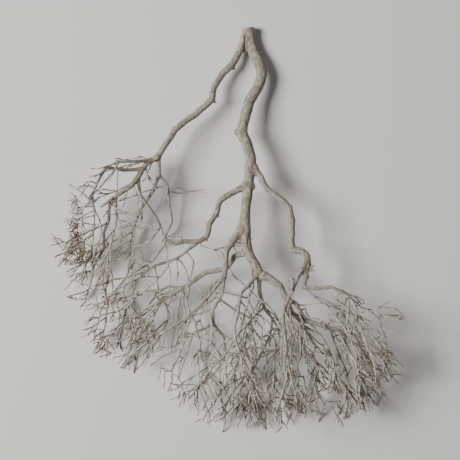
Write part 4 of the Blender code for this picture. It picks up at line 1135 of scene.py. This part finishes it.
print("twigs:", sum(len(face) - 2 for face in faces), "triangles in", len(TWIGS), "twigs")

# %% [markdown]
# ## The sawn end
#
# The butt was sawn through. The cut shows growth rings round a small pith, and it is a little warmer in
# colour than the bark. It is its own piece, a thin disc that follows the worn rim of the wood under it.

# %% Make the cut face
CUT_RINGS, CUT_SPOKES = 16, 40
CUT_FILLS = 0.90  # of the butt's radius
PROUD, SAW_MARK = 0.03, 0.005  # cm that the disc and the saw's marks on it stand over the wood
line, size = lines["trunk"]
across = unit(np.cross(facing, (0, 0, 1)))
above = np.cross(across, facing)
share = np.append(np.linspace(0.06, 1, CUT_RINGS - 1), 1.0)[:, None]
angle = 2 * np.pi * np.arange(CUT_SPOKES) / CUT_SPOKES
out = share * CUT_FILLS * size[0] * (1 + 0.03 * np.cos(3 * angle + 1) + 0.02 * np.cos(5 * angle))
lift = cut_height(out) + PROUD + SAW_MARK * np.cos(22 * out * np.cos(angle - 0.6))
lift[-1] = -WORN  # the last ring goes back into the wood, which closes the disc
skin = line[0] + (out * np.cos(angle))[..., None] * across + (out * np.sin(angle))[..., None] * above + \
    lift[..., None] * facing
poles = line[0] + np.array(((lift[0, 0],), (-WORN,))) * facing
vertices = np.concatenate([skin.reshape(-1, 3), poles])
quads, triangles = tube_faces(CUT_RINGS, CUT_SPOKES)
cut_face = new_piece("cut_face", vertices, faces_of(quads, triangles), grain=(vertices - line[0]) * CM)
print("cut face", round(2 * out.max() * 10, 1), "mm across")

# %% [markdown]
# ## The dry tufts
#
# High on the left, the twigs carry curly brown tufts, the dried remains of their last leaves, and a few
# wisps hang in forks elsewhere. Each strand is a short thin tube. It starts on the nearest wood, because
# nothing here floats, runs towards a spot drawn at random near the middle of its tuft, and curls as it
# goes. All of the strands are worked out at once.

# %% Curl the tufts
TUFTS = (  # middle and spread in cm, number of strands, their mean heading and its spread in radians
    ((-29.6, -3.7, 6.8), (1.45, 1.35, 0.8), 220, 3.9, 0.9),
    ((-30.5, 0.7, 7.4), (0.55, 0.95, 0.5), 62, 3.6, 1.6),
    ((-29.8, 5.2, 8.6), (0.9, 0.9, 0.8), 44, 2.8, 1.8),
    ((-22.9, 6.0, 9.4), (0.5, 0.4, 0.4), 14, 0, 3),
    ((15.7, -7.4, 10.4), (0.2, 0.8, 0.4), 20, 0, 3),
    ((-9.4, -2.0, 10.0), (0.5, 0.4, 0.3), 10, 0, 3),
    ((1.6, -2.6, 9.0), (0.3, 0.5, 0.3), 12, 0, 3),
    ((20.0, -31.0, 9.6), (2.2, 1.2, 0.8), 26, 4.7, 1.2),
    ((-17.0, -20.0, 8.0), (1.6, 1.4, 0.8), 24, 4.2, 1.2))
MOST_SPREAD = 1.7  # no spot lies further out than this many spreads
STRAND_WIDTHS = np.array((1, 1, 1.1, 1.1, 1, 0.8, 0.5))  # from base to tip, as shares
STRAND_RADIUS, STRAND_LENGTH = (0.04, 0.075), (0.6, 2.3)  # cm
STRAND_CURL, STRAND_RISE = 1.5, 0.5  # spreads: radians from base to tip, and cm up for each cm along
STEM = 0.8  # the share of the way to its spot that a strand goes in its first half
STRAND_LOWEST = 0.1  # cm

drawn = np.concatenate([
    np.array(middle) + rng.normal(0, 1, (count, 3)).clip(-MOST_SPREAD, MOST_SPREAD) * spread
    for middle, spread, count, _, _ in TUFTS])
lean = np.concatenate([rng.normal(towards, stray, (count, 1)) for _, _, count, towards, stray in TUFTS])
starts = np.concatenate([twig[0][:-1] for twig in TWIGS])
stops = np.concatenate([twig[0][1:] for twig in TWIGS])
perches = np.concatenate([starts + share * (stops - starts) for share in (0.1, 0.4, 0.7, 1.0)] +
                         [line for line, _ in lines.values()])
root = perches[np.linalg.norm((drawn[:, None] - perches) * (1, 1, 0.5), axis=2).argmin(axis=1)]
count, points = len(root), len(STRAND_WIDTHS)
rise = np.linspace(0, 1, points)
heading = lean + rng.normal(0, STRAND_CURL, (count, 1)) * rise
reach = rng.uniform(*STRAND_LENGTH, (count, 1)) / points
steps = np.stack([np.cos(heading) * reach, np.sin(heading) * reach,
                  rng.normal(0, STRAND_RISE, (count, 1)) * reach * np.cos(2 * rise)], axis=2)
stem = STEM * (drawn - root)[:, None] * np.clip(2 * rise, 0, 1)[:, None]
strands = root[:, None] + stem + np.cumsum(steps, axis=1) - steps[:, :1]
strands[:, :, 2] = np.maximum(strands[:, :, 2], STRAND_LOWEST)
size = rng.uniform(*STRAND_RADIUS, (count, 1)) * STRAND_WIDTHS
vertices, quads, triangles, grain = sweep(strands, size, 4)
tuft = new_piece("dry_tuft", vertices, faces_of(quads, triangles), grain=grain * CM,
                 tone=np.repeat(rng.uniform(0, 1, count), len(vertices) // count))
print("tufts:", count, "strands of", round(reach.mean() * points, 1), "cm")

# %% [markdown]
# ## Finishes
#
# One function adds a node with its settings and links, and another turns a paint-chart colour, a hex value
# in sRGB, into the linear light that Blender works in. Patterns follow the grain that each vertex carries.

# %% Material helpers
def linear(hex_colour):
    """An sRGB hex colour as linear RGBA. A channel c up to 0.04045 becomes c / 12.92, and a brighter one
    ((c + 0.055) / 1.055) to the power 2.4."""
    c = np.array([int(hex_colour[k:k + 2], 16) / 255 for k in (1, 3, 5)])
    return (*np.where(c <= 0.04045, c / 12.92, ((c + 0.055) / 1.055) ** 2.4), 1.0)


def new_material(name):
    """An empty material with a Principled shader already joined to its output."""
    material = bpy.data.materials.new(name)
    material.use_nodes = True
    return material, material.node_tree, material.node_tree.nodes["Principled BSDF"]


def add(tree, kind, inputs=None, stops=None, **settings):
    """Adds one node: settings are its options, inputs gives each socket a value or the output that feeds it,
    and stops are the positions and colours of a ramp."""
    made = tree.nodes.new("ShaderNode" + kind)
    for option, value in settings.items():
        setattr(made, option, value)
    for socket, value in (inputs or {}).items():
        if isinstance(value, bpy.types.NodeSocket):
            tree.links.new(value, made.inputs[socket])
        else:
            made.inputs[socket].default_value = value
    for k, (position, colour) in enumerate(stops or ()):
        stop = made.color_ramp.elements[k] if k < 2 else made.color_ramp.elements.new(position)
        stop.position, stop.color = position, linear(colour)
    return made


def grain_noise(tree, grain, size, detail, roughness):
    """Noise whose blotches are size[0] long and size[1] wide (m) along the grain."""
    space = add(tree, "Mapping", {"Vector": grain, "Scale": (1 / size[0], 1 / size[1], 1 / size[1])})
    noise = {"Vector": space.outputs["Vector"], "Scale": 1.0, "Detail": detail, "Roughness": roughness}
    return add(tree, "TexNoise", noise).outputs["Fac"]


def finish(shader, tree, colour, height, distance, strength):
    """Feeds the shader its colour, and a bump from a height that is distance (m) tall."""
    bump = add(tree, "Bump", {"Height": height, "Strength": strength, "Distance": distance})
    tree.links.new(colour, shader.inputs["Base Color"])
    tree.links.new(bump.outputs["Normal"], shader.inputs["Normal"])


# %% [markdown]
# ### Weathered bark
#
# Dead wood left outside: the bark is a thin skin that sun and rain have bleached to a warm grey. It gives the
# eye soft mottles under a centimetre long and fine streaks about a millimetre wide that run with the grain.
# Over them lies painted shade: brown in the hollows of the forks and along the seams where limbs meet, and
# dark inside the scars. It is matt all over.

# %% Weathered bark
MOTTLE = (0.0085, 0.0042)  # m, length and width
STREAK = (0.0060, 0.0013)
BARK_ROUGHNESS, ROUGHNESS_SPREAD, BARK_SPECULAR = 0.82, 0.1, 0.25

bark, tree, shader = new_material("weathered_bark")
grain = add(tree, "Attribute", attribute_name="grain").outputs["Vector"]
dryness = add(tree, "Attribute", attribute_name="dryness").outputs["Fac"]
mottles = grain_noise(tree, grain, MOTTLE, 5.0, 0.66)
streaks = grain_noise(tree, grain, STREAK, 3.0, 0.55)
base = add(tree, "ValToRGB", {"Fac": mottles},
           stops=((0.28, "#695f54"), (0.72, "#c8c2b9"), (0.44, "#90877c"), (0.56, "#ada599")))
# Brown painted shade in the forks and along the seams where limbs meet, broken up by the mottles.
painted_fork_shade = add(tree, "Math", {0: dryness, 1: mottles}, operation="MULTIPLY")
colour = base.outputs["Color"]
for laid_over, value, spans in (  # streaks, then the brown painted shade of forks and seams, then the dark painted shade inside a deep scar
        ("#786c60", streaks, {"From Min": 0.52, "From Max": 0.36, "To Max": 0.55}),
        ("#7c6046", painted_fork_shade.outputs["Value"], {"From Min": 0.05, "From Max": 0.5, "To Max": 0.8}),
        ("#2f2822", dryness, {"From Min": 0.85, "From Max": 1.4})):
    share = add(tree, "MapRange", {"Value": value, **spans}).outputs["Result"]
    mix = add(tree, "MixRGB", {"Fac": share, "Color1": colour, "Color2": linear(laid_over)})
    colour = mix.outputs["Color"]
relief = add(tree, "Math", {0: streaks, 1: mottles}, operation="ADD")
finish(shader, tree, colour, relief.outputs["Value"], 0.0005, 0.7)
rough = add(tree, "MapRange", {"Value": mottles, "To Min": BARK_ROUGHNESS + ROUGHNESS_SPREAD,
                               "To Max": BARK_ROUGHNESS - ROUGHNESS_SPREAD})
tree.links.new(rough.outputs["Result"], shader.inputs["Roughness"])
shader.inputs["Specular IOR Level"].default_value = BARK_SPECULAR
thick_wood.data.materials.append(bark)
print("bark streaks", STREAK[1] * 1000, "mm wide")

# %% [markdown]
# ### Twig bark
#
# The twigs are younger wood. Some have lost their bark and bleached nearly white, and some have kept it and
# are tan to brown, most of all at the buds and forks. Each twig carries its own dryness, so neighbours
# differ, as they do on the plant.

# %% Twig bark
TWIG_MOTTLE = (0.009, 0.0025)  # m
UNEVEN = 0.34  # how much the brown of one twig varies along it

twig_bark, tree, shader = new_material("bleached_twig_bark")
grain = add(tree, "Attribute", attribute_name="grain").outputs["Vector"]
dryness = add(tree, "Attribute", attribute_name="dryness").outputs["Fac"]
mottles = grain_noise(tree, grain, TWIG_MOTTLE, 3.0, 0.6)
uneven = add(tree, "MapRange", {"Value": mottles, "From Min": 0.35, "From Max": 0.65,
                                "To Min": -UNEVEN, "To Max": UNEVEN})
brown = add(tree, "Math", {0: dryness, 1: uneven.outputs["Result"]}, operation="ADD")
colour = add(tree, "ValToRGB", {"Fac": brown.outputs["Value"]},
             stops=((0.0, "#c6c0b6"), (1.0, "#4d3826"), (0.28, "#a0968a"), (0.55, "#756453")))
finish(shader, tree, colour.outputs["Color"], mottles, 0.0003, 0.6)
shader.inputs["Roughness"].default_value = 0.78
shader.inputs["Specular IOR Level"].default_value = BARK_SPECULAR
thin_limbs.data.materials.append(twig_bark)
twigs.data.materials.append(twig_bark)
print("twig mottles", TWIG_MOTTLE[1] * 1000, "mm wide")

# %% [markdown]
# ### Sawn end grain
#
# Rings about a millimetre apart, darker in late summer wood, with a pith in the middle. The rings are
# distances from the pith, bent a little by noise, because no tree grows perfectly round.

# %% Sawn end grain
RING = 0.0011  # m, one year's growth
RING_BEND, RING_CONTRAST = 5.0, 0.22

end_grain, tree, shader = new_material("sawn_end_grain")
spot = add(tree, "Attribute", attribute_name="grain").outputs["Vector"]
bend = add(tree, "TexNoise", {"Vector": spot, "Scale": 120.0, "Detail": 2.0}).outputs["Fac"]
fibre = add(tree, "TexNoise", {"Vector": spot, "Scale": 1400.0, "Detail": 3.0}).outputs["Fac"]
far = add(tree, "VectorMath", {0: spot}, operation="LENGTH").outputs["Value"]
wave = add(tree, "Math", {0: far, 1: 2 * np.pi / RING}, operation="MULTIPLY").outputs["Value"]
bent = add(tree, "Math", {0: bend, 1: RING_BEND, 2: wave}, operation="MULTIPLY_ADD").outputs["Value"]
rings = add(tree, "Math", {0: bent}, operation="SINE").outputs["Value"]
mixed = add(tree, "Math", {0: rings, 1: RING_CONTRAST, 2: fibre}, operation="MULTIPLY_ADD").outputs["Value"]
colour = add(tree, "ValToRGB", {"Fac": mixed}, stops=((0.25, "#857763"), (0.80, "#c9bfa9"), (0.5, "#a99d86")))
finish(shader, tree, colour.outputs["Color"], mixed, 0.0002, 0.5)
shader.inputs["Roughness"].default_value = 0.9
cut_face.data.materials.append(end_grain)
print("about", round(CUT_FILLS * rim * CM / RING), "rings from pith to bark")

# %% [markdown]
# ### Dry leaf strands
#
# Brown, papery and a little translucent in life. At this size only the change from strand to strand shows,
# from straw to dark tobacco brown.

# %% Dry leaf strands
dry_leaf, tree, shader = new_material("dry_leaf_strands")
tone = add(tree, "Attribute", attribute_name="tone").outputs["Fac"]
grain = add(tree, "Attribute", attribute_name="grain").outputs["Vector"]
patches = add(tree, "TexNoise", {"Vector": grain, "Scale": 350.0, "Detail": 2.0}).outputs["Fac"]
shade = add(tree, "Math", {0: patches, 1: 0.5, 2: tone}, operation="MULTIPLY_ADD").outputs["Value"]
colour = add(tree, "ValToRGB", {"Fac": shade}, stops=((0.15, "#372c21"), (1.0, "#958068"), (0.6, "#655440")))
finish(shader, tree, colour.outputs["Color"], patches, 0.0002, 0.5)
shader.inputs["Roughness"].default_value = 0.7
tuft.data.materials.append(dry_leaf)
print("materials:", [material.name for material in bpy.data.materials])

# %% [markdown]
# ## The table and the light
#
# A plain pale table and soft light. The main light is a large panel far out on the left, at half a right
# angle over the table, so that each limb has a bright left side and a darker right one, as round wood
# needs. A weak panel on the right and a pale sky fill the shade.

# %% Table
FLOOR_HALF = 4.0  # m
floor_mesh = bpy.data.meshes.new("table")
corners = [(x * FLOOR_HALF, y * FLOOR_HALF, 0) for x, y in ((-1, -1), (1, -1), (1, 1), (-1, 1))]
floor_mesh.from_pydata(corners, [], [(0, 1, 2, 3)])
floor = bpy.data.objects.new("table", floor_mesh)
bpy.context.scene.collection.objects.link(floor)
paint, tree, shader = new_material("matt_table_paint")
shader.inputs["Base Color"].default_value = linear("#e4e2de")
shader.inputs["Roughness"].default_value = 0.9
floor_mesh.materials.append(paint)

# %% Light
LIGHTS = (  # name, place (m), width (m), power (W)
    ("main_panel", (-3.9, 0.6, 3.8), 2.2, 440.0), ("fill_panel", (3.0, -1.5, 3.6), 2.4, 8.0))
LIT = Vector((0, -0.05, 0.05))  # what both face, in the middle of the crown
SKY = 0.12


def add_panel(name, spot, width, power):
    """A square area light that faces the middle of the branch."""
    light = bpy.data.lights.new(name, "AREA")
    light.size, light.energy = width, power
    panel = bpy.data.objects.new(name, light)
    panel.location = spot
    aim = (LIT - Vector(spot)).to_track_quat("-Z", "Y")
    panel.rotation_euler = aim.to_euler()
    bpy.context.scene.collection.objects.link(panel)


for settings in LIGHTS:
    add_panel(*settings)
world = bpy.data.worlds.new("studio")
world.use_nodes = True
world.node_tree.nodes["Background"].inputs["Color"].default_value = linear("#f2f4f7")
world.node_tree.nodes["Background"].inputs["Strength"].default_value = SKY
bpy.context.scene.world = world
print(len(LIGHTS), "panels")
